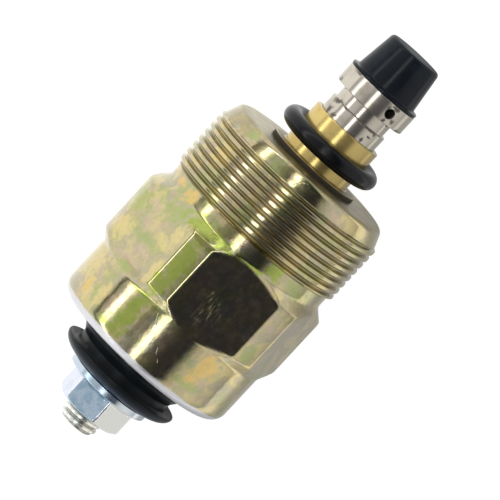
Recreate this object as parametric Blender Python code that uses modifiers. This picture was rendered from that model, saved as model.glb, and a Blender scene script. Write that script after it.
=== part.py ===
"""Fuel shutoff solenoid with a screw-in body, a sprung plunger and a threaded stud terminal.

Every piece is turned about one axis, which lies along +X with the plunger towards +X.
Heights below are measured along that axis from the body's front face, positive towards
the plunger, so the inside of the body and the terminal end have negative heights.
The part lies on one flat of its hexagon, with -Z down.
"""
import math

import bmesh
import bpy

MM = 0.001

# Clearances
SEAT_GAP = 0.3 * MM
RUNNING_CLEARANCE = 0.05 * MM
PRESS_LINE = 0.1 * MM
STOP_CLEARANCE = 0.1 * MM
RING_CLEARANCE = 0.04 * MM
FACE_LINE = 0.05 * MM

# Body
THREAD_MAJOR_DIAMETER = 23.9 * MM
THREAD_START = 2.3 * MM
THREAD_LENGTH = 7.25 * MM
NOSE_DIAMETER = 23.1 * MM
NOSE_TIP_DIAMETER = 21.6 * MM
NOSE_EDGE_RADIUS = 0.9 * MM
RELIEF_DIAMETER = 22.84 * MM
RELIEF_LENGTH = 1.9 * MM
FLARE_LENGTH = 1.6 * MM
WRENCH_ACROSS_FLATS = 24.0 * MM
WRENCH_LAND_DIAMETER = 26.1 * MM
WRENCH_LENGTH = 7.8 * MM
WRENCH_FOOT_RADIUS = 0.9 * MM
WRENCH_FOOT_LENGTH = 1.4 * MM
SKIRT_DIAMETER = 23.94 * MM
SKIRT_LENGTH = 7.3 * MM
SKIRT_CORNER_RADIUS = 1.7 * MM
FRONT_WALL = 3.2 * MM
CAVITY_DIAMETER = 20.2 * MM
RIM_THICKNESS = 1.2 * MM
RIM_EDGE_RADIUS = 0.4 * MM
RIM_OPENING_DIAMETER = 15.5 * MM

# Guide sleeve
SLEEVE_DIAMETER = 9.2 * MM
SLEEVE_WALL = 0.65 * MM
SLEEVE_REACH = 6.1 * MM
SLEEVE_FLANGE_DIAMETER = 12.1 * MM
SLEEVE_FLANGE_THICKNESS = 0.63 * MM
FLANGE_SEAT_DEPTH = 0.1 * MM
SHOULDER_DIAMETER = 10.4 * MM
SLEEVE_EDGE_RADIUS = 0.15 * MM

# Ring on the sleeve
O_RING_SECTION = 2.14 * MM
O_RING_HEIGHT = 3.13 * MM
O_RING_TILT_SIDE = math.radians(-1.2)
O_RING_TILT_BACK = math.radians(-2.0)
O_RING_FACETS = 10

# Plunger
PLUNGER_STROKE = 2.0 * MM
PLUNGER_REAR = 10.0 * MM
NECK_START = 8.03 * MM
NECK_DIAMETER = 7.04 * MM
COLLAR_START = 9.66 * MM
COLLAR_LENGTH = 2.44 * MM
COLLAR_DIAMETER = 9.62 * MM
COLLAR_EDGE_RADIUS = 0.12 * MM
CROSS_HOLE_DIAMETER = 1.3 * MM
CROSS_HOLE_SHARE = 0.52
CROSS_HOLE_ANGLE = math.radians(14.3)
VENT_DIAMETER = 1.0 * MM
SPRING_BORE_DIAMETER = 4.2 * MM
SPRING_BORE_DEPTH = 7.0 * MM
STEM_DIAMETER = 3.0 * MM
STEM_LENGTH = 3.4 * MM
STEM_HEAD_DIAMETER = 4.4 * MM
STEM_HEAD_THICKNESS = 1.2 * MM

# Rubber valve cone
CONE_LENGTH = 5.5 * MM
CONE_TIP_DIAMETER = 7.06 * MM
CONE_FOOT_DIAMETER = 8.4 * MM
CONE_EDGE_RADIUS = 0.45 * MM
CONE_FOOT_RADIUS = 0.25 * MM
LIP_DIAMETER = 9.6 * MM
LIP_THICKNESS = 0.3 * MM
LIP_SLOPE = 0.15 * MM

# Fixed core, its shim and its seal
SHIM_THICKNESS = 0.2 * MM
CORE_SEAL_SECTION = 0.9 * MM
CORE_SEAL_INSET = 0.4 * MM
CORE_SHOULDER_LENGTH = 1.4 * MM
CORE_SPIGOT_DIAMETER = 6.0 * MM
CORE_SPRING_SEAT_DEPTH = 1.5 * MM
SMALL_SEAL_FACETS = 6

# Return spring
SPRING_WIRE = 0.5 * MM
SPRING_DIAMETER = 3.3 * MM
SPRING_TURNS = 7
SPRING_POINTS_PER_TURN = 10
WIRE_RESOLUTION = 2

# Coil
WASHER_THICKNESS = 0.5 * MM
BOBBIN_FLANGE_THICKNESS = 1.0 * MM
BOBBIN_TUBE_WALL = 0.8 * MM
WRAP_INSET = 0.4 * MM
WRAP_THICKNESS = 0.3 * MM
LEAD_DIAMETER = 0.6 * MM
LEAD_INSET = 1.2 * MM
GROUND_LEAD_DEPTH = 1.3 * MM
SLOT_OVERCUT = 0.5 * MM

# Rear stack
POLE_PLATE_THICKNESS = 2.0 * MM
DISC_THICKNESS = 0.6 * MM
INSULATOR_FLANGE_THICKNESS = 3.2 * MM
INSULATOR_BOSS_DIAMETER = 8.4 * MM
INSULATOR_BOSS_REACH = 1.6 * MM
INSULATOR_SEAL_SECTION = 1.0 * MM
COVER_THICKNESS = 1.2 * MM

# Boot
BOOT_FLANGE_DIAMETER = 19.0 * MM
BOOT_FLANGE_THICKNESS = 0.9 * MM
BOOT_ROOT_DIAMETER = 14.7 * MM
BOOT_WAIST_DIAMETER = 13.14 * MM
BOOT_ROOT_LENGTH = 0.9 * MM
BOOT_ROOT_RADIUS = 0.6 * MM
BOOT_WAIST_START = 1.95 * MM
BOOT_WAIST_LENGTH = 0.6 * MM
BOOT_WAIST_RADIUS = 0.3 * MM
BOOT_LIP_DIAMETER = 15.96 * MM
BOOT_LIP_START = 3.0 * MM
BOOT_LIP_RADIUS = 0.25 * MM
BOOT_DOME_LENGTH = 1.6 * MM
BOOT_DOME_STEPS = 4
BOOT_FACE_DIAMETER = 10.46 * MM

# Stud and nut
STUD_DIAMETER = 4.92 * MM
STUD_HEAD_THICKNESS = 1.4 * MM
STUD_HEAD_ACROSS_FLATS = 7.2 * MM
STUD_HEAD_DIAMETER = 8.6 * MM
STUD_PROTRUSION = 2.06 * MM
STUD_CHAMFER = 0.5 * MM
NUT_ACROSS_FLATS = 7.8 * MM
NUT_CORNER_DIAMETER = 8.94 * MM
NUT_HEIGHT = 4.4 * MM
NUT_FLANGE_DIAMETER = 10.98 * MM
NUT_FLANGE_THICKNESS = 0.85 * MM
NUT_FLANGE_RADIUS = 0.2 * MM
NUT_FLANGE_SLOPE = 0.3 * MM
NUT_CHAMFER_HEIGHT = 0.25 * MM
NUT_FACE_ANGLE = math.radians(-26.6)

# Facet counts round each turned piece
BODY_SEGMENTS = 60
VISIBLE_SEGMENTS = 36
HIDDEN_SEGMENTS = 24
HOLE_SEGMENTS = 16
ARC_STEP = math.radians(45)
SMOOTH_ANGLE = math.radians(35)
MERGE = 0.00001

# Body heights, each worked out from the lengths above
THREAD_END = THREAD_START + THREAD_LENGTH
RELIEF_END = THREAD_END + RELIEF_LENGTH
WRENCH_START = RELIEF_END + FLARE_LENGTH
WRENCH_END = WRENCH_START + WRENCH_LENGTH
SKIRT_START = WRENCH_END + WRENCH_FOOT_LENGTH
BODY_LENGTH = SKIRT_START + SKIRT_LENGTH
RIM_INNER_FACE = BODY_LENGTH - RIM_THICKNESS
CAVITY_RADIUS = CAVITY_DIAMETER / 2
PACK_RADIUS = CAVITY_RADIUS - SEAT_GAP
WRAP_RADIUS = PACK_RADIUS - WRAP_INSET
WINDING_RADIUS = WRAP_RADIUS - WRAP_THICKNESS - SEAT_GAP
LEAD_CIRCLE_RADIUS = WINDING_RADIUS - LEAD_INSET

# Sleeve and core heights
SLEEVE_BORE_RADIUS = SLEEVE_DIAMETER / 2 - SLEEVE_WALL
CORE_FACE = PLUNGER_REAR + PLUNGER_STROKE + STOP_CLEARANCE + SHIM_THICKNESS + PRESS_LINE
CORE_RADIUS = SLEEVE_BORE_RADIUS - SEAT_GAP
BOBBIN_BORE_RADIUS = SLEEVE_DIAMETER / 2 + SEAT_GAP
BOBBIN_TUBE_RADIUS = BOBBIN_BORE_RADIUS + BOBBIN_TUBE_WALL

# Heights of the stack inside the body, from the rolled rim to the sleeve's rear end
BOOT_FLANGE_REAR = RIM_INNER_FACE - SEAT_GAP
BOOT_FRONT = BOOT_FLANGE_REAR - BOOT_FLANGE_THICKNESS
COVER_REAR = BOOT_FRONT - SEAT_GAP
COVER_FRONT = COVER_REAR - COVER_THICKNESS
BOSS_REAR = COVER_REAR + INSULATOR_BOSS_REACH
INSULATOR_SHELF = COVER_FRONT - SEAT_GAP
INSULATOR_FRONT = INSULATOR_SHELF - INSULATOR_FLANGE_THICKNESS
HEAD_REAR = INSULATOR_FRONT + STUD_HEAD_THICKNESS
DISC_REAR = INSULATOR_FRONT - SEAT_GAP
DISC_FRONT = DISC_REAR - DISC_THICKNESS
PLATE_REAR = DISC_FRONT - SEAT_GAP
PLATE_FRONT = PLATE_REAR - POLE_PLATE_THICKNESS
BOBBIN_REAR = PLATE_FRONT - SEAT_GAP
CORE_SHOULDER = BOBBIN_REAR - CORE_SHOULDER_LENGTH
SLEEVE_REAR = CORE_SHOULDER - SEAT_GAP
CORE_GROOVE_END = SLEEVE_REAR - CORE_SEAL_INSET
CORE_GROOVE_START = CORE_GROOVE_END - CORE_SEAL_SECTION - 2 * PRESS_LINE

# Heights of the stack behind the front wall, front to rear
WASHER_FRONT = FRONT_WALL + SEAT_GAP
BOBBIN_FRONT = WASHER_FRONT + WASHER_THICKNESS + SEAT_GAP

# Terminal heights
BOOT_REAR = BODY_LENGTH + BOOT_LIP_START + BOOT_DOME_LENGTH
NUT_FRONT = BOOT_REAR + FACE_LINE
STUD_REAR = NUT_FRONT + NUT_HEIGHT + STUD_PROTRUSION

# Plunger and cone heights
COLLAR_END = COLLAR_START + COLLAR_LENGTH
CONE_FOOT = COLLAR_END + FACE_LINE
CROSS_HOLE_HEIGHT = COLLAR_START + COLLAR_LENGTH * CROSS_HOLE_SHARE


def clear_scene():
    """Remove every object of the scene the script is run in."""
    for item in list(bpy.data.objects):
        bpy.data.objects.remove(item, do_unlink=True)


def new_collection(name):
    """Make a collection under the scene's own."""
    found = bpy.data.collections.new(name)
    bpy.context.scene.collection.children.link(found)
    return found


def finish(name, colour, roughness, metallic):
    """Make a plain Principled material."""
    material = bpy.data.materials.new(name)
    material.use_nodes = True
    shader = material.node_tree.nodes["Principled BSDF"]
    shader.inputs["Base Color"].default_value = (*colour, 1.0)
    shader.inputs["Roughness"].default_value = roughness
    shader.inputs["Metallic"].default_value = metallic
    return material


def arc(centre_r, centre_z, radius, start, end):
    """Points of an arc in the profile plane, ends included, angles from +r towards +z."""
    steps = max(2, round(abs(end - start) / ARC_STEP))
    return [
        (centre_r + radius * math.cos(start + (end - start) * i / steps),
         centre_z + radius * math.sin(start + (end - start) * i / steps))
        for i in range(steps + 1)
    ]


def rounded(corners):
    """Turn (r, z) or (r, z, fillet) corners into points, with each fillet as an arc."""
    points = []
    count = len(corners)
    for i, corner in enumerate(corners):
        here = corner[:2]
        fillet = corner[2] if len(corner) > 2 else 0.0
        if not fillet:
            points.append(here)
            continue
        before = corners[(i - 1) % count][:2]
        after = corners[(i + 1) % count][:2]
        to_before = (before[0] - here[0], before[1] - here[1])
        to_after = (after[0] - here[0], after[1] - here[1])
        len_before = math.hypot(*to_before)
        len_after = math.hypot(*to_after)
        unit_b = (to_before[0] / len_before, to_before[1] / len_before)
        unit_a = (to_after[0] / len_after, to_after[1] / len_after)
        angle = math.acos(max(-1.0, min(1.0, unit_a[0] * unit_b[0] + unit_a[1] * unit_b[1])))
        reach = min(fillet / math.tan(angle / 2), 0.49 * len_before, 0.49 * len_after)
        radius = reach * math.tan(angle / 2)
        middle = (unit_a[0] + unit_b[0], unit_a[1] + unit_b[1])
        stretch = math.hypot(reach, radius) / math.hypot(*middle)
        centre = (here[0] + middle[0] * stretch, here[1] + middle[1] * stretch)
        start_point = (here[0] + unit_b[0] * reach, here[1] + unit_b[1] * reach)
        end_point = (here[0] + unit_a[0] * reach, here[1] + unit_a[1] * reach)
        start = math.atan2(start_point[1] - centre[1], start_point[0] - centre[0])
        end = math.atan2(end_point[1] - centre[1], end_point[0] - centre[0])
        turn = (end - start + math.pi) % (2 * math.pi) - math.pi
        points.extend(arc(*centre, radius, start, start + turn))
    return points


def place(item, collection, parent, material=None):
    """Link an object, parent it and give it its material."""
    collection.objects.link(item)
    item.parent = parent
    if material:
        item.data.materials.append(material)
    return item


def bake(item):
    """Apply an object's modifiers to its mesh, and shade it smooth with sharp edges."""
    depsgraph = bpy.context.evaluated_depsgraph_get()
    mesh = bpy.data.meshes.new_from_object(item.evaluated_get(depsgraph))
    item.modifiers.clear()
    item.data = mesh
    mesh.shade_smooth()
    mesh.set_sharp_from_angle(angle=SMOOTH_ANGLE)
    return item


def turned(name, points, segments, collection, parent, material):
    """Spin a profile about the axis: a loop for a ring, or ends on the axis for a solid."""
    mesh = bpy.data.meshes.new(name)
    closed = points[0][0] > MERGE or points[-1][0] > MERGE
    count = len(points)
    edges = [(i, (i + 1) % count) for i in range(count if closed else count - 1)]
    mesh.from_pydata([(r, 0.0, z) for r, z in points], edges, [])
    item = place(bpy.data.objects.new(name, mesh), collection, parent, material)
    screw = item.modifiers.new("turn", "SCREW")
    screw.axis = "Z"
    screw.angle = 2 * math.pi
    screw.steps = segments
    screw.render_steps = segments
    screw.use_merge_vertices = True
    screw.merge_threshold = MERGE
    return bake(item)


def cut(item, cutter, operation="DIFFERENCE"):
    """Cut an object with a cutter and apply the result."""
    boolean = item.modifiers.new("cut", "BOOLEAN")
    boolean.object = cutter
    boolean.operation = operation
    boolean.solver = "EXACT"
    bpy.context.view_layer.update()
    return bake(item)


def as_cutter(item):
    """Mark an object as a cutter, which is no piece of the part."""
    item.hide_render = True
    item.display_type = "WIRE"
    return item


def prism(name, across_flats, bottom, top, first_face, collection, parent):
    """Make a hexagonal prism along the axis with one face's normal at an angle."""
    mesh = bpy.data.meshes.new(name)
    form = bmesh.new()
    radius = across_flats / 2 / math.cos(math.pi / 6)
    bmesh.ops.create_cone(form, cap_ends=True, segments=6, radius1=radius, radius2=radius, depth=top - bottom)
    form.to_mesh(mesh)
    form.free()
    item = place(bpy.data.objects.new(name, mesh), collection, parent)
    item.location.z = (top + bottom) / 2
    item.rotation_euler.z = first_face
    return as_cutter(item)


def rod_cutter(name, diameter, length, collection, parent):
    """Make a round cutter along its own Z, centred on its origin."""
    mesh = bpy.data.meshes.new(name)
    form = bmesh.new()
    bmesh.ops.create_cone(
        form, cap_ends=True, segments=HOLE_SEGMENTS, radius1=diameter / 2, radius2=diameter / 2, depth=length
    )
    form.to_mesh(mesh)
    form.free()
    return as_cutter(place(bpy.data.objects.new(name, mesh), collection, parent))


def box_cutter(name, size, centre, turn, collection, parent):
    """Make a box cutter of a size, centred on a point that is then turned about the axis."""
    mesh = bpy.data.meshes.new(name)
    form = bmesh.new()
    bmesh.ops.create_cube(form, size=1.0)
    bmesh.ops.scale(form, vec=size, verts=form.verts)
    bmesh.ops.translate(form, vec=centre, verts=form.verts)
    form.to_mesh(mesh)
    form.free()
    item = place(bpy.data.objects.new(name, mesh), collection, parent)
    item.rotation_euler.z = turn
    return as_cutter(item)


def ring(name, mean_radius, section, segments, section_segments, collection, parent, material):
    """Make a round-section ring about the axis."""
    points = [
        (mean_radius + section / 2 * math.cos(2 * math.pi * i / section_segments),
         -section / 2 * math.sin(2 * math.pi * i / section_segments))
        for i in range(section_segments)
    ]
    return turned(name, points, segments, collection, parent, material)


def wire(name, points, diameter, collection, parent, material):
    """Make a round wire along a list of points, as a closed mesh."""
    curve = bpy.data.curves.new(name, "CURVE")
    curve.dimensions = "3D"
    curve.bevel_depth = diameter / 2
    curve.bevel_resolution = WIRE_RESOLUTION
    curve.use_fill_caps = True
    spline = curve.splines.new("POLY")
    spline.points.add(len(points) - 1)
    for target, point in zip(spline.points, points):
        target.co = (*point, 1.0)
    source = place(bpy.data.objects.new(name + "_path", curve), collection, parent)
    bpy.context.view_layer.update()
    depsgraph = bpy.context.evaluated_depsgraph_get()
    mesh = bpy.data.meshes.new_from_object(source.evaluated_get(depsgraph))
    form = bmesh.new()
    form.from_mesh(mesh)
    bmesh.ops.remove_doubles(form, verts=form.verts, dist=MERGE)
    bmesh.ops.recalc_face_normals(form, faces=form.faces)
    form.to_mesh(mesh)
    form.free()
    bpy.data.objects.remove(source, do_unlink=True)
    item = place(bpy.data.objects.new(name, mesh), collection, parent, material)
    mesh.shade_smooth()
    mesh.set_sharp_from_angle(angle=SMOOTH_ANGLE)
    return item


def on_circle(radius, angle, height):
    """Point at a radius and angle about the axis, at a height along it."""
    return (radius * math.cos(angle), radius * math.sin(angle), height)


def view_angle(angle):
    """Angle about the axis of a direction given from straight up towards -Y."""
    return math.pi + angle


def make_body(parts, cutters, axis, material):
    """Steel cup: nose with a seat for the sleeve's flange, thread blank, relief, flare, hexagon with
    lands, skirt and rolled rim.
    """
    major = THREAD_MAJOR_DIAMETER / 2
    relief = RELIEF_DIAMETER / 2
    land = WRENCH_LAND_DIAMETER / 2
    skirt = SKIRT_DIAMETER / 2
    thread_chamfer = major - NOSE_DIAMETER / 2
    seat = SLEEVE_FLANGE_DIAMETER / 2 + PRESS_LINE
    outside = [
        (SHOULDER_DIAMETER / 2 + PRESS_LINE, -FLANGE_SEAT_DEPTH),
        (seat, -FLANGE_SEAT_DEPTH),
        (seat, 0.0),
        (NOSE_TIP_DIAMETER / 2, 0.0, NOSE_EDGE_RADIUS),
        (NOSE_DIAMETER / 2, -THREAD_START + thread_chamfer),
        (major, -THREAD_START),
        (major, -THREAD_END),
        (relief, -THREAD_END - (major - relief) / 2),
        (relief, -RELIEF_END, FLARE_LENGTH / 2),
        (land, -WRENCH_START, FLARE_LENGTH / 2),
        (land, -WRENCH_END, WRENCH_FOOT_RADIUS),
        (skirt, -SKIRT_START, WRENCH_FOOT_RADIUS),
        (skirt, -BODY_LENGTH, SKIRT_CORNER_RADIUS),
        (RIM_OPENING_DIAMETER / 2, -BODY_LENGTH, RIM_EDGE_RADIUS),
    ]
    inside = [
        (RIM_OPENING_DIAMETER / 2, -RIM_INNER_FACE),
        (CAVITY_RADIUS, -RIM_INNER_FACE),
        (CAVITY_RADIUS, -FRONT_WALL),
        (SHOULDER_DIAMETER / 2 + PRESS_LINE, -FRONT_WALL),
    ]
    body = turned("body", rounded(outside + inside), BODY_SEGMENTS, parts, axis, material)
    hexagon = prism(
        "hexagon", WRENCH_ACROSS_FLATS, -BODY_LENGTH - FRONT_WALL, FRONT_WALL, 0.0, cutters, axis
    )
    return cut(body, hexagon, "INTERSECT")


def make_guide_sleeve(parts, axis, material):
    """Brass tube, open towards the plunger, with a shoulder in the front wall and a flange let into it."""
    outer = SLEEVE_DIAMETER / 2
    shoulder = SHOULDER_DIAMETER / 2
    flange = SLEEVE_FLANGE_DIAMETER / 2
    flange_rear = FACE_LINE - FLANGE_SEAT_DEPTH
    flange_top = flange_rear + SLEEVE_FLANGE_THICKNESS
    return turned("guide_sleeve", rounded([
        (SLEEVE_BORE_RADIUS, SLEEVE_REACH, SLEEVE_EDGE_RADIUS),
        (outer, SLEEVE_REACH, SLEEVE_EDGE_RADIUS),
        (outer, flange_top),
        (flange, flange_top, SLEEVE_EDGE_RADIUS),
        (flange, flange_rear),
        (shoulder, flange_rear),
        (shoulder, -FRONT_WALL),
        (outer, -FRONT_WALL),
        (outer, -SLEEVE_REAR),
        (SLEEVE_BORE_RADIUS, -SLEEVE_REAR),
    ]), VISIBLE_SEGMENTS, parts, axis, material)


def make_sleeve_o_ring(parts, axis, material):
    """Round ring hugging the sleeve between its mouth and its flange, a little askew."""
    mean = SLEEVE_DIAMETER / 2 + RING_CLEARANCE + O_RING_SECTION / 2
    item = ring(
        "sleeve_o_ring", mean, O_RING_SECTION, VISIBLE_SEGMENTS, O_RING_FACETS, parts, axis, material
    )
    item.location.z = O_RING_HEIGHT
    item.rotation_euler.x = O_RING_TILT_SIDE
    item.rotation_euler.y = O_RING_TILT_BACK
    return item


def make_plunger(parts, cutters, slide, material):
    """Armature with collar, neck and barrel, a spring bore, a vent and a cross hole."""
    barrel = SLEEVE_BORE_RADIUS - RUNNING_CLEARANCE
    edge = COLLAR_EDGE_RADIUS
    spring_bottom = -PLUNGER_REAR + SPRING_BORE_DEPTH
    plunger = turned("plunger", rounded([
        (0.0, COLLAR_END + STEM_LENGTH),
        (STEM_HEAD_DIAMETER / 2, COLLAR_END + STEM_LENGTH, edge),
        (STEM_HEAD_DIAMETER / 2, COLLAR_END + STEM_LENGTH - STEM_HEAD_THICKNESS),
        (STEM_DIAMETER / 2, COLLAR_END + STEM_LENGTH - STEM_HEAD_THICKNESS),
        (STEM_DIAMETER / 2, COLLAR_END),
        (COLLAR_DIAMETER / 2, COLLAR_END, edge),
        (COLLAR_DIAMETER / 2, COLLAR_START, edge),
        (NECK_DIAMETER / 2, COLLAR_START),
        (NECK_DIAMETER / 2, NECK_START),
        (barrel, NECK_START, edge),
        (barrel, -PLUNGER_REAR, edge),
        (SPRING_BORE_DIAMETER / 2, -PLUNGER_REAR),
        (SPRING_BORE_DIAMETER / 2, spring_bottom),
        (VENT_DIAMETER / 2, spring_bottom),
        (VENT_DIAMETER / 2, CROSS_HOLE_HEIGHT),
        (0.0, CROSS_HOLE_HEIGHT),
    ]), VISIBLE_SEGMENTS, parts, slide, material)
    hole = rod_cutter("cross_hole", CROSS_HOLE_DIAMETER, COLLAR_DIAMETER + CROSS_HOLE_DIAMETER, cutters, slide)
    hole.location.z = CROSS_HOLE_HEIGHT
    hole.rotation_euler = (0.0, math.pi / 2, view_angle(CROSS_HOLE_ANGLE))
    return cut(plunger, hole)


def make_valve_cone(parts, slide, material):
    """Rubber tip with a thin lip, moulded over the plunger's mushroom stem."""
    tip = CONE_FOOT + CONE_LENGTH
    lip_top = CONE_FOOT + LIP_THICKNESS
    head_base = COLLAR_END + STEM_LENGTH - STEM_HEAD_THICKNESS - SEAT_GAP
    head_top = COLLAR_END + STEM_LENGTH + SEAT_GAP
    stem = STEM_DIAMETER / 2 + SEAT_GAP
    head = STEM_HEAD_DIAMETER / 2 + SEAT_GAP
    return turned("valve_cone", rounded([
        (0.0, tip),
        (CONE_TIP_DIAMETER / 2, tip, CONE_EDGE_RADIUS),
        (CONE_FOOT_DIAMETER / 2, lip_top + LIP_SLOPE, CONE_FOOT_RADIUS),
        (LIP_DIAMETER / 2, lip_top),
        (LIP_DIAMETER / 2, CONE_FOOT),
        (stem, CONE_FOOT),
        (stem, head_base),
        (head, head_base),
        (head, head_top),
        (0.0, head_top),
    ]), VISIBLE_SEGMENTS, parts, slide, material)


def make_return_spring(parts, axis, material):
    """Coil spring between the plunger's bore and the seat in the core."""
    radius = (SPRING_DIAMETER - SPRING_WIRE) / 2
    top = -PLUNGER_REAR + SPRING_BORE_DEPTH - SEAT_GAP - SPRING_WIRE / 2
    bottom = -CORE_FACE - CORE_SPRING_SEAT_DEPTH + SEAT_GAP + SPRING_WIRE / 2
    count = SPRING_TURNS * SPRING_POINTS_PER_TURN
    points = [
        on_circle(radius, 2 * math.pi * i / SPRING_POINTS_PER_TURN, bottom + (top - bottom) * i / count)
        for i in range(count + 1)
    ]
    return wire("return_spring", points, SPRING_WIRE, parts, axis, material)


def make_residual_shim(parts, axis, material):
    """Thin washer in front of the core, with room for the spring."""
    front = -CORE_FACE + PRESS_LINE + SHIM_THICKNESS
    return turned("residual_shim", [
        (SPRING_BORE_DIAMETER / 2, front),
        (CORE_RADIUS, front),
        (CORE_RADIUS, front - SHIM_THICKNESS),
        (SPRING_BORE_DIAMETER / 2, front - SHIM_THICKNESS),
    ], HIDDEN_SEGMENTS, parts, axis, material)


def make_fixed_core(parts, axis, material):
    """Pole with a spring seat, a seal groove, a shoulder and a spigot in the pole plate."""
    groove_radius = SLEEVE_BORE_RADIUS - CORE_SEAL_SECTION - 2 * PRESS_LINE
    return turned("fixed_core", [
        (0.0, -CORE_FACE - CORE_SPRING_SEAT_DEPTH),
        (SPRING_BORE_DIAMETER / 2, -CORE_FACE - CORE_SPRING_SEAT_DEPTH),
        (SPRING_BORE_DIAMETER / 2, -CORE_FACE),
        (CORE_RADIUS, -CORE_FACE),
        (CORE_RADIUS, -CORE_GROOVE_START),
        (groove_radius, -CORE_GROOVE_START),
        (groove_radius, -CORE_GROOVE_END),
        (CORE_RADIUS, -CORE_GROOVE_END),
        (CORE_RADIUS, -CORE_SHOULDER),
        (SLEEVE_DIAMETER / 2, -CORE_SHOULDER),
        (SLEEVE_DIAMETER / 2, -BOBBIN_REAR),
        (CORE_SPIGOT_DIAMETER / 2, -BOBBIN_REAR),
        (CORE_SPIGOT_DIAMETER / 2, -PLATE_REAR),
        (0.0, -PLATE_REAR),
    ], HIDDEN_SEGMENTS, parts, axis, material)


def make_core_o_ring(parts, axis, material):
    """Small seal ring in the core's groove."""
    mean = SLEEVE_BORE_RADIUS - PRESS_LINE - CORE_SEAL_SECTION / 2
    item = ring(
        "core_o_ring", mean, CORE_SEAL_SECTION, HIDDEN_SEGMENTS, SMALL_SEAL_FACETS, parts, axis, material
    )
    item.location.z = -(CORE_GROOVE_START + CORE_GROOVE_END) / 2
    return item


def make_front_washer(parts, axis, material):
    """Insulating washer between the front wall and the bobbin."""
    return turned("front_washer", [
        (BOBBIN_BORE_RADIUS, -WASHER_FRONT),
        (PACK_RADIUS, -WASHER_FRONT),
        (PACK_RADIUS, -WASHER_FRONT - WASHER_THICKNESS),
        (BOBBIN_BORE_RADIUS, -WASHER_FRONT - WASHER_THICKNESS),
    ], HIDDEN_SEGMENTS, parts, axis, material)


def lead_slot(name, angle, front, rear, cutters, axis):
    """Cutter for a slot that runs from a lead out to the rim of a disc."""
    width = LEAD_DIAMETER + 2 * SEAT_GAP
    reach = CAVITY_RADIUS - LEAD_CIRCLE_RADIUS + width
    centre = (LEAD_CIRCLE_RADIUS - width / 2 + reach / 2, 0.0, -(front + rear) / 2)
    return box_cutter(name, (reach, width, rear - front), centre, angle, cutters, axis)


def make_coil_bobbin(parts, cutters, axis, material):
    """Moulded spool with two flanges and a lead slot at each side of the rear one."""
    flange = BOBBIN_FLANGE_THICKNESS
    item = turned("coil_bobbin", [
        (BOBBIN_BORE_RADIUS, -BOBBIN_FRONT),
        (PACK_RADIUS, -BOBBIN_FRONT),
        (PACK_RADIUS, -BOBBIN_FRONT - flange),
        (BOBBIN_TUBE_RADIUS, -BOBBIN_FRONT - flange),
        (BOBBIN_TUBE_RADIUS, -BOBBIN_REAR + flange),
        (PACK_RADIUS, -BOBBIN_REAR + flange),
        (PACK_RADIUS, -BOBBIN_REAR),
        (BOBBIN_BORE_RADIUS, -BOBBIN_REAR),
    ], HIDDEN_SEGMENTS, parts, axis, material)
    for side, angle in (("live", 0.0), ("ground", math.pi)):
        slot = lead_slot(
            "bobbin_slot_" + side, angle, BOBBIN_REAR - flange - SLOT_OVERCUT, BOBBIN_REAR + SLOT_OVERCUT,
            cutters, axis,
        )
        cut(item, slot)
    return item


def make_coil_winding(parts, axis, material):
    """Copper winding filling the bobbin, as one ring."""
    front = BOBBIN_FRONT + BOBBIN_FLANGE_THICKNESS + SEAT_GAP
    rear = BOBBIN_REAR - BOBBIN_FLANGE_THICKNESS - SEAT_GAP
    inner = BOBBIN_TUBE_RADIUS + SEAT_GAP
    return turned("coil_winding", rounded([
        (inner, -front),
        (WINDING_RADIUS, -front, LEAD_DIAMETER / 2),
        (WINDING_RADIUS, -rear, LEAD_DIAMETER / 2),
        (inner, -rear),
    ]), HIDDEN_SEGMENTS, parts, axis, material)


def make_coil_wrap(parts, axis, material):
    """Tape round the winding, between the flanges."""
    front = BOBBIN_FRONT + BOBBIN_FLANGE_THICKNESS + SEAT_GAP
    rear = BOBBIN_REAR - BOBBIN_FLANGE_THICKNESS - SEAT_GAP
    inner = WRAP_RADIUS - WRAP_THICKNESS
    return turned("coil_wrap", [
        (inner, -front),
        (WRAP_RADIUS, -front),
        (WRAP_RADIUS, -rear),
        (inner, -rear),
    ], HIDDEN_SEGMENTS, parts, axis, material)


def make_rear_pole_plate(parts, cutters, axis, material):
    """Steel plate that the core is swaged into, with a slot and a blind hole for the leads."""
    item = turned("rear_pole_plate", [
        (CORE_SPIGOT_DIAMETER / 2 + PRESS_LINE, -PLATE_FRONT),
        (PACK_RADIUS, -PLATE_FRONT),
        (PACK_RADIUS, -PLATE_REAR),
        (CORE_SPIGOT_DIAMETER / 2 + PRESS_LINE, -PLATE_REAR),
    ], HIDDEN_SEGMENTS, parts, axis, material)
    slot = lead_slot("plate_slot", 0.0, PLATE_FRONT - SEAT_GAP, PLATE_REAR + SEAT_GAP, cutters, axis)
    cut(item, slot)
    depth = GROUND_LEAD_DEPTH + SEAT_GAP
    hole = rod_cutter("ground_hole", LEAD_DIAMETER + 2 * SEAT_GAP, 2 * depth, cutters, axis)
    hole.location = on_circle(LEAD_CIRCLE_RADIUS, math.pi, -PLATE_FRONT)
    return cut(item, hole)


def make_insulating_disc(parts, cutters, axis, material):
    """Thin disc that keeps the stud's head off the pole plate, slotted for the live lead."""
    item = turned("insulating_disc", [
        (0.0, -DISC_FRONT),
        (PACK_RADIUS, -DISC_FRONT),
        (PACK_RADIUS, -DISC_REAR),
        (0.0, -DISC_REAR),
    ], HIDDEN_SEGMENTS, parts, axis, material)
    slot = lead_slot("disc_slot", 0.0, PLATE_REAR, INSULATOR_FRONT, cutters, axis)
    return cut(item, slot)


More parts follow.
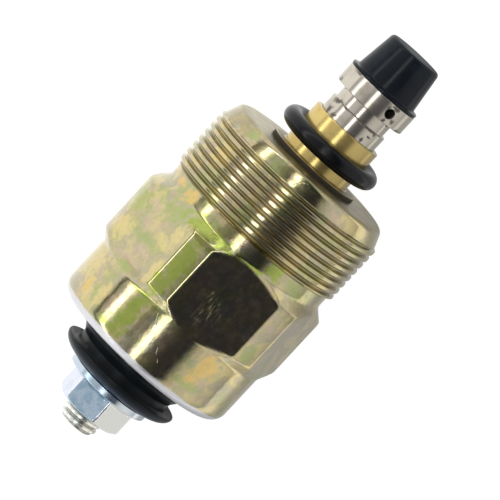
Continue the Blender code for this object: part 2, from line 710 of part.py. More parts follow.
def make_leads(parts, axis, material):
    """Live lead from the winding to the stud's head, and ground lead into the pole plate."""
    start = -(BOBBIN_REAR - BOBBIN_FLANGE_THICKNESS)
    level = -(INSULATOR_FRONT + STUD_HEAD_THICKNESS / 2)
    bend = LEAD_DIAMETER
    middle = (LEAD_CIRCLE_RADIUS - bend, level + bend)
    live = [(LEAD_CIRCLE_RADIUS, start)]
    live += arc(*middle, bend, 0.0, -math.pi / 2)
    live.append((STUD_HEAD_ACROSS_FLATS / 2 + SEAT_GAP, level))
    wire("coil_lead", [(r, 0.0, z) for r, z in live], LEAD_DIAMETER, parts, axis, material)
    end = -(PLATE_FRONT + GROUND_LEAD_DEPTH)
    ground = [on_circle(LEAD_CIRCLE_RADIUS, math.pi, height) for height in (start, end)]
    wire("ground_lead", ground, LEAD_DIAMETER, parts, axis, material)


def make_terminal_insulator(parts, cutters, axis, material):
    """Moulded bush round the stud's head, with a boss through the end cover."""
    bore = STUD_DIAMETER / 2 + SEAT_GAP
    seal = INSULATOR_SEAL_SECTION + PRESS_LINE
    item = turned("terminal_insulator", [
        (bore, -INSULATOR_FRONT),
        (PACK_RADIUS, -INSULATOR_FRONT),
        (PACK_RADIUS, -INSULATOR_SHELF + seal),
        (CAVITY_RADIUS - seal - PRESS_LINE, -INSULATOR_SHELF + seal),
        (CAVITY_RADIUS - seal - PRESS_LINE, -INSULATOR_SHELF),
        (INSULATOR_BOSS_DIAMETER / 2, -INSULATOR_SHELF),
        (INSULATOR_BOSS_DIAMETER / 2, -BOSS_REAR),
        (bore, -BOSS_REAR),
    ], HIDDEN_SEGMENTS, parts, axis, material)
    pocket = prism(
        "head_pocket", STUD_HEAD_ACROSS_FLATS + 2 * SEAT_GAP, -HEAD_REAR - SEAT_GAP,
        -INSULATOR_FRONT + SEAT_GAP, 0.0, cutters, axis,
    )
    cut(item, pocket)
    width = LEAD_DIAMETER + 2 * SEAT_GAP
    depth = STUD_HEAD_THICKNESS / 2 + width / 2
    reach = LEAD_CIRCLE_RADIUS + width / 2
    centre = (reach / 2, 0.0, -INSULATOR_FRONT - depth / 2 + SEAT_GAP / 2)
    channel = box_cutter("lead_channel", (reach, width, depth + SEAT_GAP), centre, 0.0, cutters, axis)
    return cut(item, channel)


def make_insulator_seal(parts, axis, material):
    """Seal ring at the insulator's rear edge, under the end cover."""
    mean = CAVITY_RADIUS - PRESS_LINE - INSULATOR_SEAL_SECTION / 2
    item = ring(
        "insulator_seal", mean, INSULATOR_SEAL_SECTION, HIDDEN_SEGMENTS, SMALL_SEAL_FACETS,
        parts, axis, material,
    )
    item.location.z = -INSULATOR_SHELF + INSULATOR_SEAL_SECTION / 2
    return item


def make_end_cover(parts, axis, material):
    """Steel disc clamped by the rolled rim through the boot's flange."""
    return turned("end_cover", [
        (INSULATOR_BOSS_DIAMETER / 2 + SEAT_GAP, -COVER_FRONT),
        (PACK_RADIUS, -COVER_FRONT),
        (PACK_RADIUS, -COVER_REAR),
        (INSULATOR_BOSS_DIAMETER / 2 + SEAT_GAP, -COVER_REAR),
    ], HIDDEN_SEGMENTS, parts, axis, material)


def make_terminal_boot(parts, axis, material):
    """Waisted boot with a flange under the rim, a flared foot, a wide lip and a domed end."""
    bore = STUD_DIAMETER / 2 + SEAT_GAP
    root = BOOT_ROOT_DIAMETER / 2
    waist = BOOT_WAIST_DIAMETER / 2
    lip = BOOT_LIP_DIAMETER / 2
    lip_height = -BODY_LENGTH - BOOT_LIP_START
    waist_top = -BODY_LENGTH - BOOT_WAIST_START
    dome = [
        (BOOT_FACE_DIAMETER / 2 + (lip - BOOT_FACE_DIAMETER / 2) * math.cos(angle),
         lip_height - BOOT_DOME_LENGTH * math.sin(angle))
        for angle in (math.pi / 2 * i / BOOT_DOME_STEPS for i in range(1, BOOT_DOME_STEPS + 1))
    ]
    return turned("terminal_boot", rounded([
        (INSULATOR_BOSS_DIAMETER / 2 + SEAT_GAP, -BOOT_FRONT),
        (BOOT_FLANGE_DIAMETER / 2, -BOOT_FRONT),
        (BOOT_FLANGE_DIAMETER / 2, -BOOT_FLANGE_REAR),
        (root, -BOOT_FLANGE_REAR),
        (root, -BODY_LENGTH - BOOT_ROOT_LENGTH, BOOT_ROOT_RADIUS),
        (waist, waist_top),
        (waist, waist_top - BOOT_WAIST_LENGTH, BOOT_WAIST_RADIUS),
        (lip, lip_height, BOOT_LIP_RADIUS),
        *dome,
        (bore, -BOOT_REAR),
        (bore, -BOSS_REAR - SEAT_GAP),
        (INSULATOR_BOSS_DIAMETER / 2 + SEAT_GAP, -BOSS_REAR - SEAT_GAP),
    ]), VISIBLE_SEGMENTS, parts, axis, material)


def make_terminal_stud(parts, cutters, axis, material):
    """Stud with a hexagonal head that the moulding grips, and a chamfered end."""
    radius = STUD_DIAMETER / 2
    item = turned("terminal_stud", [
        (0.0, -INSULATOR_FRONT),
        (STUD_HEAD_DIAMETER / 2, -INSULATOR_FRONT),
        (STUD_HEAD_DIAMETER / 2, -HEAD_REAR),
        (radius, -HEAD_REAR),
        (radius, -STUD_REAR + STUD_CHAMFER),
        (radius - STUD_CHAMFER, -STUD_REAR),
        (0.0, -STUD_REAR),
    ], HIDDEN_SEGMENTS, parts, axis, material)
    sides = prism(
        "head_sides", STUD_HEAD_ACROSS_FLATS, -STUD_REAR - SEAT_GAP, -INSULATOR_FRONT + SEAT_GAP,
        0.0, cutters, axis,
    )
    return cut(item, sides, "INTERSECT")


def make_flange_nut(parts, cutters, axis, material):
    """Hexagon nut with a round flange towards the boot and turned corners at its end."""
    bore = STUD_DIAMETER / 2 + RUNNING_CLEARANCE
    corner = NUT_CORNER_DIAMETER / 2
    rear = -NUT_FRONT - NUT_HEIGHT
    flange_rear = -NUT_FRONT - NUT_FLANGE_THICKNESS
    hexagonal = turned("flange_nut", rounded([
        (bore, -NUT_FRONT),
        (corner, -NUT_FRONT),
        (corner, rear + NUT_CHAMFER_HEIGHT),
        (NUT_ACROSS_FLATS / 2, rear),
        (bore, rear),
    ]), VISIBLE_SEGMENTS, parts, axis, material)
    face = view_angle(NUT_FACE_ANGLE)
    sides = prism("nut_sides", NUT_ACROSS_FLATS, rear - NUT_HEIGHT, 0.0, face, cutters, axis)
    cut(hexagonal, sides, "INTERSECT")
    flange = turned("nut_flange", rounded([
        (bore, -NUT_FRONT),
        (NUT_FLANGE_DIAMETER / 2, -NUT_FRONT, NUT_FLANGE_RADIUS),
        (NUT_FLANGE_DIAMETER / 2, flange_rear, NUT_FLANGE_RADIUS),
        (NUT_ACROSS_FLATS / 2, flange_rear - NUT_FLANGE_SLOPE),
        (bore, flange_rear - NUT_FLANGE_SLOPE),
    ]), VISIBLE_SEGMENTS, cutters, axis, material)
    cut(hexagonal, as_cutter(flange), "UNION")
    return hexagonal


def main():
    """Build every piece."""
    clear_scene()
    parts = new_collection("fuel_shutoff_solenoid")
    cutters = new_collection("cutters")
    axis = bpy.data.objects.new("solenoid_axis", None)
    parts.objects.link(axis)
    axis.rotation_euler.y = math.pi / 2
    slide = bpy.data.objects.new("plunger_slide", None)
    parts.objects.link(slide)
    slide.parent = axis

    yellow_zinc = finish("yellow_zinc", (0.55, 0.50, 0.33), 0.32, 0.9)
    steel = finish("plunger_steel", (0.60, 0.58, 0.54), 0.3, 1.0)
    brass = finish("brass", (0.66, 0.50, 0.20), 0.28, 1.0)
    rubber = finish("black_rubber", (0.02, 0.022, 0.028), 0.5, 0.0)
    boot_black = finish("boot_black", (0.025, 0.027, 0.035), 0.42, 0.0)
    spring_steel = finish("spring_steel", (0.45, 0.45, 0.46), 0.35, 1.0)
    core_steel = finish("core_steel", (0.42, 0.41, 0.40), 0.45, 1.0)
    copper = finish("enamelled_copper", (0.45, 0.16, 0.07), 0.35, 0.9)
    moulding = finish("moulded_plastic", (0.05, 0.05, 0.055), 0.5, 0.0)
    tape = finish("winding_tape", (0.70, 0.62, 0.35), 0.6, 0.0)
    board = finish("insulating_board", (0.40, 0.20, 0.10), 0.7, 0.0)
    zinc = finish("bright_zinc", (0.62, 0.64, 0.68), 0.28, 1.0)

    make_body(parts, cutters, axis, yellow_zinc)
    make_guide_sleeve(parts, axis, brass)
    make_sleeve_o_ring(parts, axis, rubber)
    make_plunger(parts, cutters, slide, steel)
    make_valve_cone(parts, slide, rubber)
    make_return_spring(parts, axis, spring_steel)
    make_residual_shim(parts, axis, brass)
    make_fixed_core(parts, axis, core_steel)
    make_core_o_ring(parts, axis, rubber)
    make_front_washer(parts, axis, board)
    make_coil_bobbin(parts, cutters, axis, moulding)
    make_coil_winding(parts, axis, copper)
    make_coil_wrap(parts, axis, tape)
    make_rear_pole_plate(parts, cutters, axis, core_steel)
    make_insulating_disc(parts, cutters, axis, board)
    make_leads(parts, axis, copper)
    make_terminal_insulator(parts, cutters, axis, moulding)
    make_insulator_seal(parts, axis, rubber)
    make_end_cover(parts, axis, core_steel)
    make_terminal_boot(parts, axis, boot_black)
    make_terminal_stud(parts, cutters, axis, zinc)
    make_flange_nut(parts, cutters, axis, zinc)


main()
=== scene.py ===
"""Looks of a fuel shutoff solenoid: fine meshes, finishes, a studio and a camera.

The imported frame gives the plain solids. Each fine piece is modelled in the frame's own metres, so its
object stays at the origin and its place is in its mesh. Sizes are in millimetres and angles in degrees
unless a docstring says otherwise. The axis of every turned piece is X, with the plunger towards +X. An
angle about the axis, called a turn, runs from +Z towards -Y.
"""
from __future__ import annotations

import functools
import logging
import math
from dataclasses import dataclass
from enum import Enum
from typing import Callable, Iterable, Sequence

import bmesh
import bpy
from mathutils import Euler, Matrix, Vector

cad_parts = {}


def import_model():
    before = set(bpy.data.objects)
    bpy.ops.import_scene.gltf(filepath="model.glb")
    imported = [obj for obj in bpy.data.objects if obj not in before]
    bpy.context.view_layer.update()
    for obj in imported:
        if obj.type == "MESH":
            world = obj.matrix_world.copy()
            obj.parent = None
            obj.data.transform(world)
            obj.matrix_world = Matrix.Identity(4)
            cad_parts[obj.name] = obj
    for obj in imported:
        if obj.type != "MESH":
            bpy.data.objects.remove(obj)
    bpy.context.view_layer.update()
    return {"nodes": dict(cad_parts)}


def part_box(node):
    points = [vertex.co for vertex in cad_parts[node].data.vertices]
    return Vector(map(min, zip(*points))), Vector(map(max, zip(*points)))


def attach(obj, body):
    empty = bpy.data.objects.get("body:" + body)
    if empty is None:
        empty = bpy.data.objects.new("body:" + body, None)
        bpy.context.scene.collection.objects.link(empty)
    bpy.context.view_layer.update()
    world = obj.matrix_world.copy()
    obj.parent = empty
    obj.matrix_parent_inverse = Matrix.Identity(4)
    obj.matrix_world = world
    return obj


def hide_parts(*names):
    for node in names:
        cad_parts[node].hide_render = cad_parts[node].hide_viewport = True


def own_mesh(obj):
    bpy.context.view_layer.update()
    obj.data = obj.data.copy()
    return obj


LOG = logging.getLogger("fuel_shutoff_solenoid")
MM = 0.001
SEAM = 1e-7
ON_AXIS = 1e-4
SIDE_SHARE = 0.49
CIRCLE = 2 * math.pi

Mesh = bpy.types.Mesh
Material = bpy.types.Material
Item = bpy.types.Object
Span = tuple[float, float]
Point = tuple[float, float]
Corner = tuple[float, ...]
Colour = tuple[float, float, float]
Band = tuple[float, float, float]
Mark = tuple[float, float, float, float]


class Carrier(Enum):
    """The two bodies of the frame."""

    HOUSING = "housing"
    ARMATURE = "armature"


class Fineness(Enum):
    """Columns round a turned piece, by how closely it is seen."""

    ROUND = 180
    THREAD = 360


def operator(operation: str, swapped: bool = False) -> Callable[[Value, Value | float], Value]:
    """Make the method behind one of Python's operators; swapped, it takes the number on the left first."""
    return lambda self, other: self.graph.math(operation, *((other, self) if swapped else (self, other)))


@dataclass(eq=False)
class Value:
    """A number that a node gives, on which Python's operators add Math nodes."""

    graph: Graph
    socket: bpy.types.NodeSocket

    __add__, __radd__ = operator("ADD"), operator("ADD", True)
    __sub__, __rsub__ = operator("SUBTRACT"), operator("SUBTRACT", True)
    __mul__, __rmul__ = operator("MULTIPLY"), operator("MULTIPLY", True)

    def __neg__(self) -> Value:
        """Negate it."""
        return self * -1.0


@dataclass
class Graph:
    """A node tree under construction, for a material, the world or a Geometry Nodes group."""

    tree: bpy.types.NodeTree

    @staticmethod
    def _find(sockets: bpy.types.bpy_prop_collection, key: int | str) -> bpy.types.NodeSocket:
        """Find a socket.

        Args:
            sockets: A node's inputs or outputs.
            key: The socket's place in the list, its identifier or its name.

        Returns:
            The socket.
        """
        if isinstance(key, int):
            return sockets[key]
        same = [socket for socket in sockets if socket.identifier == key]
        return (same or [socket for socket in sockets if socket.name == key and socket.enabled])[0]

    def node(self, kind: str, sockets: dict | None = None, **settings: object) -> bpy.types.Node:
        """Add a node.

        Args:
            kind: The node's type.
            sockets: Numbers or links for its inputs, by place, identifier or name.
            settings: Its properties; "stops" holds a ramp's places, rising, and colours.

        Returns:
            The new node.
        """
        made = self.tree.nodes.new(kind)
        stops = settings.pop("stops", ())
        for key, value in settings.items():
            setattr(made, key, value)
        while stops and len(made.color_ramp.elements) < len(stops):
            made.color_ramp.elements.new(1.0)
        for i, (place, colour) in enumerate(stops):
            made.color_ramp.elements[i].position = place
            made.color_ramp.elements[i].color = (*colour, 1.0)
        for key, value in (sockets or {}).items():
            target = self._find(made.inputs, key)
            if isinstance(value, Value):
                self.tree.links.new(value.socket, target)
            else:
                target.default_value = value
        return made

    def output(self, node: bpy.types.Node, key: int | str = 0) -> Value:
        """Wrap one output of a node."""
        return Value(self, self._find(node.outputs, key))

    def value(self, kind: str, sockets: dict | None = None, key: int | str = 0, **settings: object) -> Value:
        """Add a node and wrap one of its outputs."""
        return self.output(self.node(kind, sockets, **settings), key)

    def math(self, operation: str, *values: Value | float) -> Value:
        """Add a Math node of an operation on one to three values."""
        return self.value("ShaderNodeMath", dict(enumerate(values)), operation=operation)

    def fold(self, operation: str, values: Iterable[Value]) -> Value:
        """Chain a Math node's operation over several values."""
        return functools.reduce(functools.partial(self.math, operation), values)

    def hypot(self, first: Value, second: Value) -> Value:
        """Length of a diagonal."""
        return self.math("SQRT", first * first + second * second)

    def rise(self, value: Value, start: float, end: float, low: float = 0.0, high: float = 1.0) -> Value:
        """Move smoothly from one number to another.

        Args:
            value: What drives the change.
            start: Where it begins; it may be greater than the end.
            end: Where it is complete.
            low: The result up to the start.
            high: The result from the end on.

        Returns:
            The smooth step.
        """
        return self.value("ShaderNodeMapRange", {
            "Value": value, "From Min": start, "From Max": end, "To Min": low, "To Max": high,
        }, interpolation_type="SMOOTHSTEP")

    def band(self, value: Value, start: float, end: float, soft: float) -> Value:
        """Give 1 between two places and 0 outside, with edges of a softness."""
        return self.rise(value, start - soft, start + soft) * self.rise(value, end + soft, end - soft)

    def blend(self, share: Value | float, *colours: Value | Colour) -> Value:
        """Mix two colours by the share of the second."""
        first, second = (part if isinstance(part, Value) else (*part, 1.0) for part in colours)
        mix = {"Factor_Float": share, "A_Color": first, "B_Color": second}
        return self.value("ShaderNodeMix", mix, "Result_Color", data_type="RGBA")

    def vector(self, x: Value | float, y: Value | float, z: Value | float) -> Value:
        """Combine three numbers."""
        return self.value("ShaderNodeCombineXYZ", {0: x, 1: y, 2: z})

    def split(self, vector: Value) -> list[Value]:
        """Take a vector's three numbers apart."""
        node = self.node("ShaderNodeSeparateXYZ", {0: vector})
        return [self.output(node, i) for i in range(3)]


@dataclass(frozen=True)
class Cloud:
    """A cloudy pattern from about 0.25 to 0.75.

    Its size is that of its blotches, its detail counts octaves, and its shift sets it apart from others of
    its size. Its levels are where it begins and where it is complete, once it is used as a share. Its
    reach is how far it pulls edges in and out. Its stretch multiplies its rate along X, Y and Z.
    """

    size: float
    detail: float = 2.0
    shift: float = 0.0
    levels: Span = (0.0, 1.0)
    distortion: float = 0.0
    reach: float = 1.0
    stretch: tuple[float, float, float] = (1.0, 1.0, 1.0)


@dataclass(frozen=True)
class Coat:
    """What can lie on a surface: its colour, its share, what it adds to the roughness, how metallic it is."""

    colour: Colour
    strength: float
    rougher: float = 0.0
    bare: float = 1.0


class Paint:
    """One material under construction, with the place of each point along and about the axis.

    A mark on the surface is given by its centre, along the axis and about it, and by its two half sizes.
    """

    DEGREE = 0.209
    STROKE_EDGE = 0.5

    def __init__(self, name: str, sockets: dict[str, float] | None = None) -> None:
        """Start a material.

        Args:
            name: The material's name.
            sockets: Constants of its shader.
        """
        self.material = bpy.data.materials.new(name)
        self.material.use_nodes = True
        self.material.node_tree.nodes.clear()
        self.graph = graph = Graph(self.material.node_tree)
        self.shader = graph.node("ShaderNodeBsdfPrincipled", sockets)
        graph.node("ShaderNodeOutputMaterial", {"Surface": graph.output(self.shader)})
        metres = graph.value("ShaderNodeTexCoord", key="Object")
        self.place = graph.value("ShaderNodeVectorMath", {0: metres, "Scale": 1 / MM}, operation="SCALE")
        self.along, self.across, up = graph.split(self.place)
        self.turn = graph.math("ARCTAN2", -self.across, up) * math.degrees(1.0)
        self.radius = graph.hypot(self.across, up)
        self.chart = graph.vector(self.along, self.turn, 0.0)

    def noise(self, cloud: Cloud) -> Value:
        """Add a cloudy pattern as raw numbers."""
        mapped = self.graph.value("ShaderNodeMapping", {
            "Vector": self.place, "Location": (cloud.shift, -cloud.shift, cloud.shift),
            "Scale": tuple(rate / cloud.size for rate in cloud.stretch),
        })
        return self.graph.value("ShaderNodeTexNoise", {
            "Vector": mapped, "Scale": 1.0, "Detail": cloud.detail, "Distortion": cloud.distortion,
        })

    def clouds(self, cloud: Cloud) -> Value:
        """Add a cloudy pattern as a share from 0 to 1."""
        return self.graph.rise(self.noise(cloud), *cloud.levels)

    def fray(self, cloud: Cloud) -> Value:
        """Add a pattern about 0 that pulls edges in and out."""
        return (self.noise(cloud) - 0.5) * cloud.reach

    def rings(self, spacing: float) -> Value:
        """Add fine turning marks that run round the axis, a spacing apart."""
        where = self.graph.vector(self.along * (1 / spacing), self.radius * (1 / spacing), 0.0)
        return self.graph.value("ShaderNodeTexNoise", {"Vector": where, "Scale": 1.0}, noise_dimensions="2D")

    def away(self, mark: Mark) -> Value:
        """Give the distance from a mark's centre, where 1 is its edge.

        Args:
            mark: The mark.

        Returns:
            The distance.
        """
        along, turn, length, width = mark
        centred = self.graph.value("ShaderNodeVectorMath", {
            0: self.chart, 1: (1 / length, 1 / width, 0.0), 2: (-along / length, -turn / width, 0.0),
        }, operation="MULTIPLY_ADD")
        return self.graph.value("ShaderNodeVectorMath", {0: centred}, "Value", operation="LENGTH")

    def marked(self, marks: Sequence[Mark], fray: Value, soft: float) -> Value:
        """Give 1 inside a group of marks and 0 outside, with frayed edges of a softness."""
        nearest = self.graph.fold("MINIMUM", map(self.away, marks))
        return self.graph.rise(nearest + fray, 1.0 + soft / 2, 1.0 - soft / 2)

    def strokes(self, ends: Sequence[Point], width: float) -> Value:
        """Draw a thin broken line on the surface.

        Args:
            ends: Its corners, each a place on the axis and a turn.
            width: Its half width on the body's outside, where a degree is DEGREE long.

        Returns:
            1 on the line and 0 beside it.
        """
        graph = self.graph
        distances = []
        for (along, turn), (along_on, turn_on) in zip(ends, ends[1:]):
            run, swing = along_on - along, (turn_on - turn) * self.DEGREE
            step, sweep = self.along - along, (self.turn - turn) * self.DEGREE
            share = (step * run + sweep * swing) * (1 / (run * run + swing * swing))
            share = graph.math("MINIMUM", graph.math("MAXIMUM", share, 0.0), 1.0)
            distances.append(graph.hypot(step - share * run, sweep - share * swing))
        edge = width * self.STROKE_EDGE
        return graph.rise(graph.fold("MINIMUM", distances), width + edge, width - edge)

    def feed(self, socket: str, value: Value | float) -> None:
        """Link or set one socket of the shader."""
        target = self.shader.inputs[socket]
        if isinstance(value, Value):
            self.graph.tree.links.new(value.socket, target)
        else:
            target.default_value = value

    def fed(self, socket: str) -> Value:
        """What one socket of the shader is linked to."""
        return Value(self.graph, self.shader.inputs[socket].links[0].from_socket)

    def cover(self, share: Value, coat: Coat) -> None:
        """Lay a coat over what the material has so far.

        Args:
            share: Where it lies, from 0 to 1.
            coat: What lies there.
        """
        share = share * coat.strength
        self.feed("Base Color", self.graph.blend(share, self.fed("Base Color"), coat.colour))
        if coat.rougher:
            self.feed("Roughness", self.fed("Roughness") + share * coat.rougher)
        metallic = self.shader.inputs["Metallic"].default_value
        if coat.bare < metallic:
            self.feed("Metallic", metallic - share * (metallic - coat.bare))

    def bump(self, height: Value, depth: float) -> None:
        """Raise the surface by a pattern, as deep as a full step of it."""
        sockets = {"Height": height, "Distance": depth * MM, "Strength": 1.0}
        self.feed("Normal", self.graph.value("ShaderNodeBump", sockets))


class Tint(Enum):
    """Colours that the yellow passivation takes; brown and olive also stand for painted shade."""

    TAN = (0.470, 0.415, 0.240)
    GREY = (0.430, 0.395, 0.270)
    SAND = (0.650, 0.540, 0.255)
    ORANGE = (0.700, 0.490, 0.160)
    GREEN = (0.370, 0.420, 0.165)
    LEAF = (0.318, 0.408, 0.057)
    PINK = (0.540, 0.420, 0.310)
    LAVENDER = (0.660, 0.665, 0.700)
    OLIVE = (0.170, 0.135, 0.060)
    BROWN = (0.300, 0.255, 0.130)


@dataclass(frozen=True)
class YellowZinc:
    """Zinc with a yellow passivation: tan, clouded, stained green, sand and pink, with brown patches of painted shade
    and painted shade in the thread's roots.
    """

    roughness: Span = (0.075, 0.155)
    dulling: Cloud = Cloud(0.9, 3.0, 7.7, (0.3, 0.75))
    patches: Cloud = Cloud(2.4, 5.0, 1.7, (0.36, 0.64))
    veils: tuple[tuple[Tint, Cloud], ...] = (
        (Tint.GREEN, Cloud(3.4, 5.0, 5.3, (0.50, 0.61), 0.4)),
        (Tint.SAND, Cloud(2.2, 5.0, 9.1, (0.48, 0.59), 0.4)),
        (Tint.PINK, Cloud(1.6, 5.0, 14.7, (0.52, 0.63), 0.3)),
    )
    veil: float = 0.5
    veil_behind: float = 0.22
    seen_side: Band = (-74.0, 58.0, 6.0)
    fray: Cloud = Cloud(0.9, 6.0, 3.1, reach=3.2)
    stain_and_shade_edge: float = 0.9
    stains_and_shade: tuple[tuple[Tint, float, tuple[Mark, ...]], ...] = (
        # Brown marks are painted shade: on the nose's left, the flare's right and the skirt's fillet.
        (Tint.BROWN, 0.5, ((-0.9, -78, 1.0, 26), (-12.7, 42, 1.0, 22), (-21.4, -52, 0.5, 14))),
        (Tint.GREEN, 0.75, (
            (-1.0, -56, 0.6, 4), (-1.4, -30, 0.9, 8), (-10.8, 29, 0.9, 8), (-17.8, -58, 0.9, 15),
            (-13.5, -58, 1.1, 12), (-15.4, -82, 1.5, 8), (-19.8, 30, 1.3, 3), (-26.8, 15, 0.6, 10),
            (-26.1, -61, 0.6, 4), (-10.8, -33, 0.5, 9), (-23.9, -50, 0.9, 4), (-21.7, -60, 0.5, 9),
        )),
        (Tint.SAND, 0.8, (
            (-0.9, 31, 0.9, 13), (-16.6, -49, 0.7, 7), (-19.5, -40, 1.8, 3), (-15.0, -44, 1.4, 3),
            (-20.8, 36, 1.0, 3), (-22.6, 32, 1.2, 9), (-24.2, -83, 2.2, 13), (-26.6, -68, 1.3, 5),
            (-25.8, -55, 1.5, 4), (-19.0, -80, 1.5, 8), (-4.9, -62, 1.2, 6),
        )),
        (Tint.PINK, 0.65, (
            (-1.2, 14, 0.5, 4), (-11.9, -18, 0.4, 1.2), (-19.1, -55, 0.7, 4), (-25.4, -48, 2.0, 2.6),
            (-16.8, -67, 0.8, 4), (-21.2, -66, 0.6, 5),
        )),
        (Tint.LEAF, 0.8, (
            (-12.2, -32, 0.9, 16), (-16.5, -31, 3.8, 5.2), (-20.0, -32, 1.6, 4.0), (-10.6, 10, 0.9, 5),
            (-24.9, -35, 2.7, 6), (-27.6, -36, 0.5, 9), (-22.4, -34, 0.3, 9), (-11.6, -3, 0.3, 9),
        )),
        (Tint.ORANGE, 0.75, (
            (-10.6, -74, 0.4, 4), (-10.9, -58, 0.8, 5), (-24.1, 18, 1.9, 6), (-25.9, 14, 0.7, 3), (-26.6, -70, 0.9, 3),
        )),
        (Tint.OLIVE, 0.5, (
            (-1.3, -48, 0.7, 1.8), (-24.8, -27, 2.9, 1.7), (-13.0, -31, 0.5, 9), (-10.5, -24, 0.8, 9),
            (-1.0, -24, 0.7, 5),
        )),
    )
    specks: Cloud = Cloud(0.45, 5.0, 23.0, (0.40, 0.70))
    speck: Coat = Coat(Tint.OLIVE.value, 0.10)
    crack: tuple[Point, ...] = ((-22.5, -50), (-23.6, -51.5), (-24.6, -50.5), (-26.0, -51.5), (-27.6, -50))
    crack_width: float = 0.14
    cracked: Coat = Coat(Tint.OLIVE.value, 0.6)
    face: Span = (-0.45, -0.05)
    face_share: Span = (0.5, 0.35)
    face_coat: Coat = Coat(Tint.BROWN.value, 1.0)
    rim: Span = (-28.35, -28.6)
    rim_wander: float = 0.12
    rim_coat: Coat = Coat(Tint.LAVENDER.value, 0.9)
    thread: Band = (-9.85, -1.95, 0.1)
    root: Span = (11.55, 11.40)
    thread_root_shade: Coat = Coat(Tint.OLIVE.value, 0.45)
    dirt_dulling: float = 0.2
    scratches: tuple[tuple[Point, ...], ...] = (
        ((-1.6, -17), (-0.8, -14), (-0.5, -11)),
        ((-22.7, -23), (-23.4, -21.5), (-23.9, -19)),
        ((-25.6, -11), (-26.2, -9.5), (-26.5, -7), (-27.3, -4)),
    )
    scratch_width: float = 0.04
    gaps: Cloud = Cloud(0.5, 2.0, 11.0, (0.38, 0.6))
    smudge: tuple[Mark, ...] = ((-18.2, -3, 1.2, 5.5), (-19.5, -6, 1.0, 3), (-17.3, -8, 0.8, 3))
    smudge_edge: float = 1.6
    hairs: Cloud = Cloud(0.3, 5.0, 17.0, (0.38, 0.76), stretch=(0.3, 1.0, 1.0))
    scratch_dulling: float = 0.24
    hair_dulling: float = 0.035
    wave: Cloud = Cloud(2.2, 2.0, 21.0)
    ripple: Cloud = Cloud(0.38, 3.0, 2.0)
    ripple_share: float = 0.5
    scratch_share: float = 0.5
    depth: float = 0.012

    def material(self) -> Material:
        """Build the material."""
        paint = Paint("yellow_zinc", {"Metallic": 1.0})
        graph = paint.graph
        fray = paint.fray(self.fray)
        patches = paint.clouds(self.patches)
        paint.feed("Base Color", graph.blend(patches, Tint.TAN.value, Tint.GREY.value))
        behind = 1.0 - graph.band(paint.turn, *self.seen_side)
        for tint, cloud in self.veils:
            paint.cover(paint.clouds(cloud) * (behind * self.veil_behind + self.veil), Coat(tint.value, 1.0))
        # Stains, and in the brown group painted shade.
        for tint, strength, marks in self.stains_and_shade:
            paint.cover(paint.marked(marks, fray, self.stain_and_shade_edge), Coat(tint.value, strength))
        face = graph.rise(paint.along, *self.face)
        rim = graph.rise(paint.along + fray * self.rim_wander, *self.rim)
        # Painted shade: darker in the thread's roots.
        thread_root_shade = graph.band(paint.along, *self.thread) * graph.rise(paint.radius, *self.root)
        paint.cover(paint.clouds(self.specks), self.speck)
        paint.cover(paint.strokes(self.crack, self.crack_width), self.cracked)
        paint.cover(face * (patches * self.face_share[1] + self.face_share[0]), self.face_coat)
        paint.cover(rim, self.rim_coat)
        paint.cover(thread_root_shade, self.thread_root_shade)
        lines = graph.fold("MAXIMUM", (paint.strokes(line, self.scratch_width) for line in self.scratches))
        broken = lines * paint.clouds(self.gaps)
        hair = paint.clouds(self.hairs)
        rubbed = paint.marked(self.smudge, fray, self.smudge_edge) * hair
        rough = graph.rise(paint.noise(self.dulling), *self.dulling.levels, *self.roughness)
        rough = rough + (broken + rubbed) * self.scratch_dulling + hair * self.hair_dulling
        paint.feed("Roughness", rough + (thread_root_shade + rim + face) * self.dirt_dulling)
        wave = paint.noise(self.wave) + paint.noise(self.ripple) * self.ripple_share
        paint.bump(wave - broken * self.scratch_share, self.depth)
        return paint.material


@dataclass(frozen=True)
class TurnedMetal:
    """Bare metal with turning marks round the axis, a cloudy dulling and painted shade on one side."""

    name: str
    colour: Colour
    dull: Colour
    roughness: float
    groove: float = 0.05
    bare: float = 1.0
    side_shade: Coat | None = None
    shade_side: Band = (10.0, 120.0, 14.0)
    patches: Cloud = Cloud(1.8, 3.0, 4.0, (0.4, 0.7))
    ridges: Span = (0.2, 0.8)
    ridge_dulling: float = 0.02
    depth: float = 0.0002

    def paint(self) -> Paint:
        """Build the material and leave it open for more."""
        paint = Paint(self.name, {"Metallic": self.bare})
        graph = paint.graph
        marks = paint.rings(self.groove)
        paint.feed("Base Color", graph.blend(paint.clouds(self.patches), self.colour, self.dull))
        rough = graph.rise(marks, *self.ridges, self.roughness, self.roughness + self.ridge_dulling)
        paint.feed("Roughness", rough)
        # Painted shade: a darker copy of the colour over a band of turns on one side, where less light falls.
        if self.side_shade:
            paint.cover(graph.band(paint.turn, *self.shade_side), self.side_shade)
        paint.bump(marks, self.depth)
        return paint

    def material(self) -> Material:
        """Build the finished material."""
        return self.paint().material


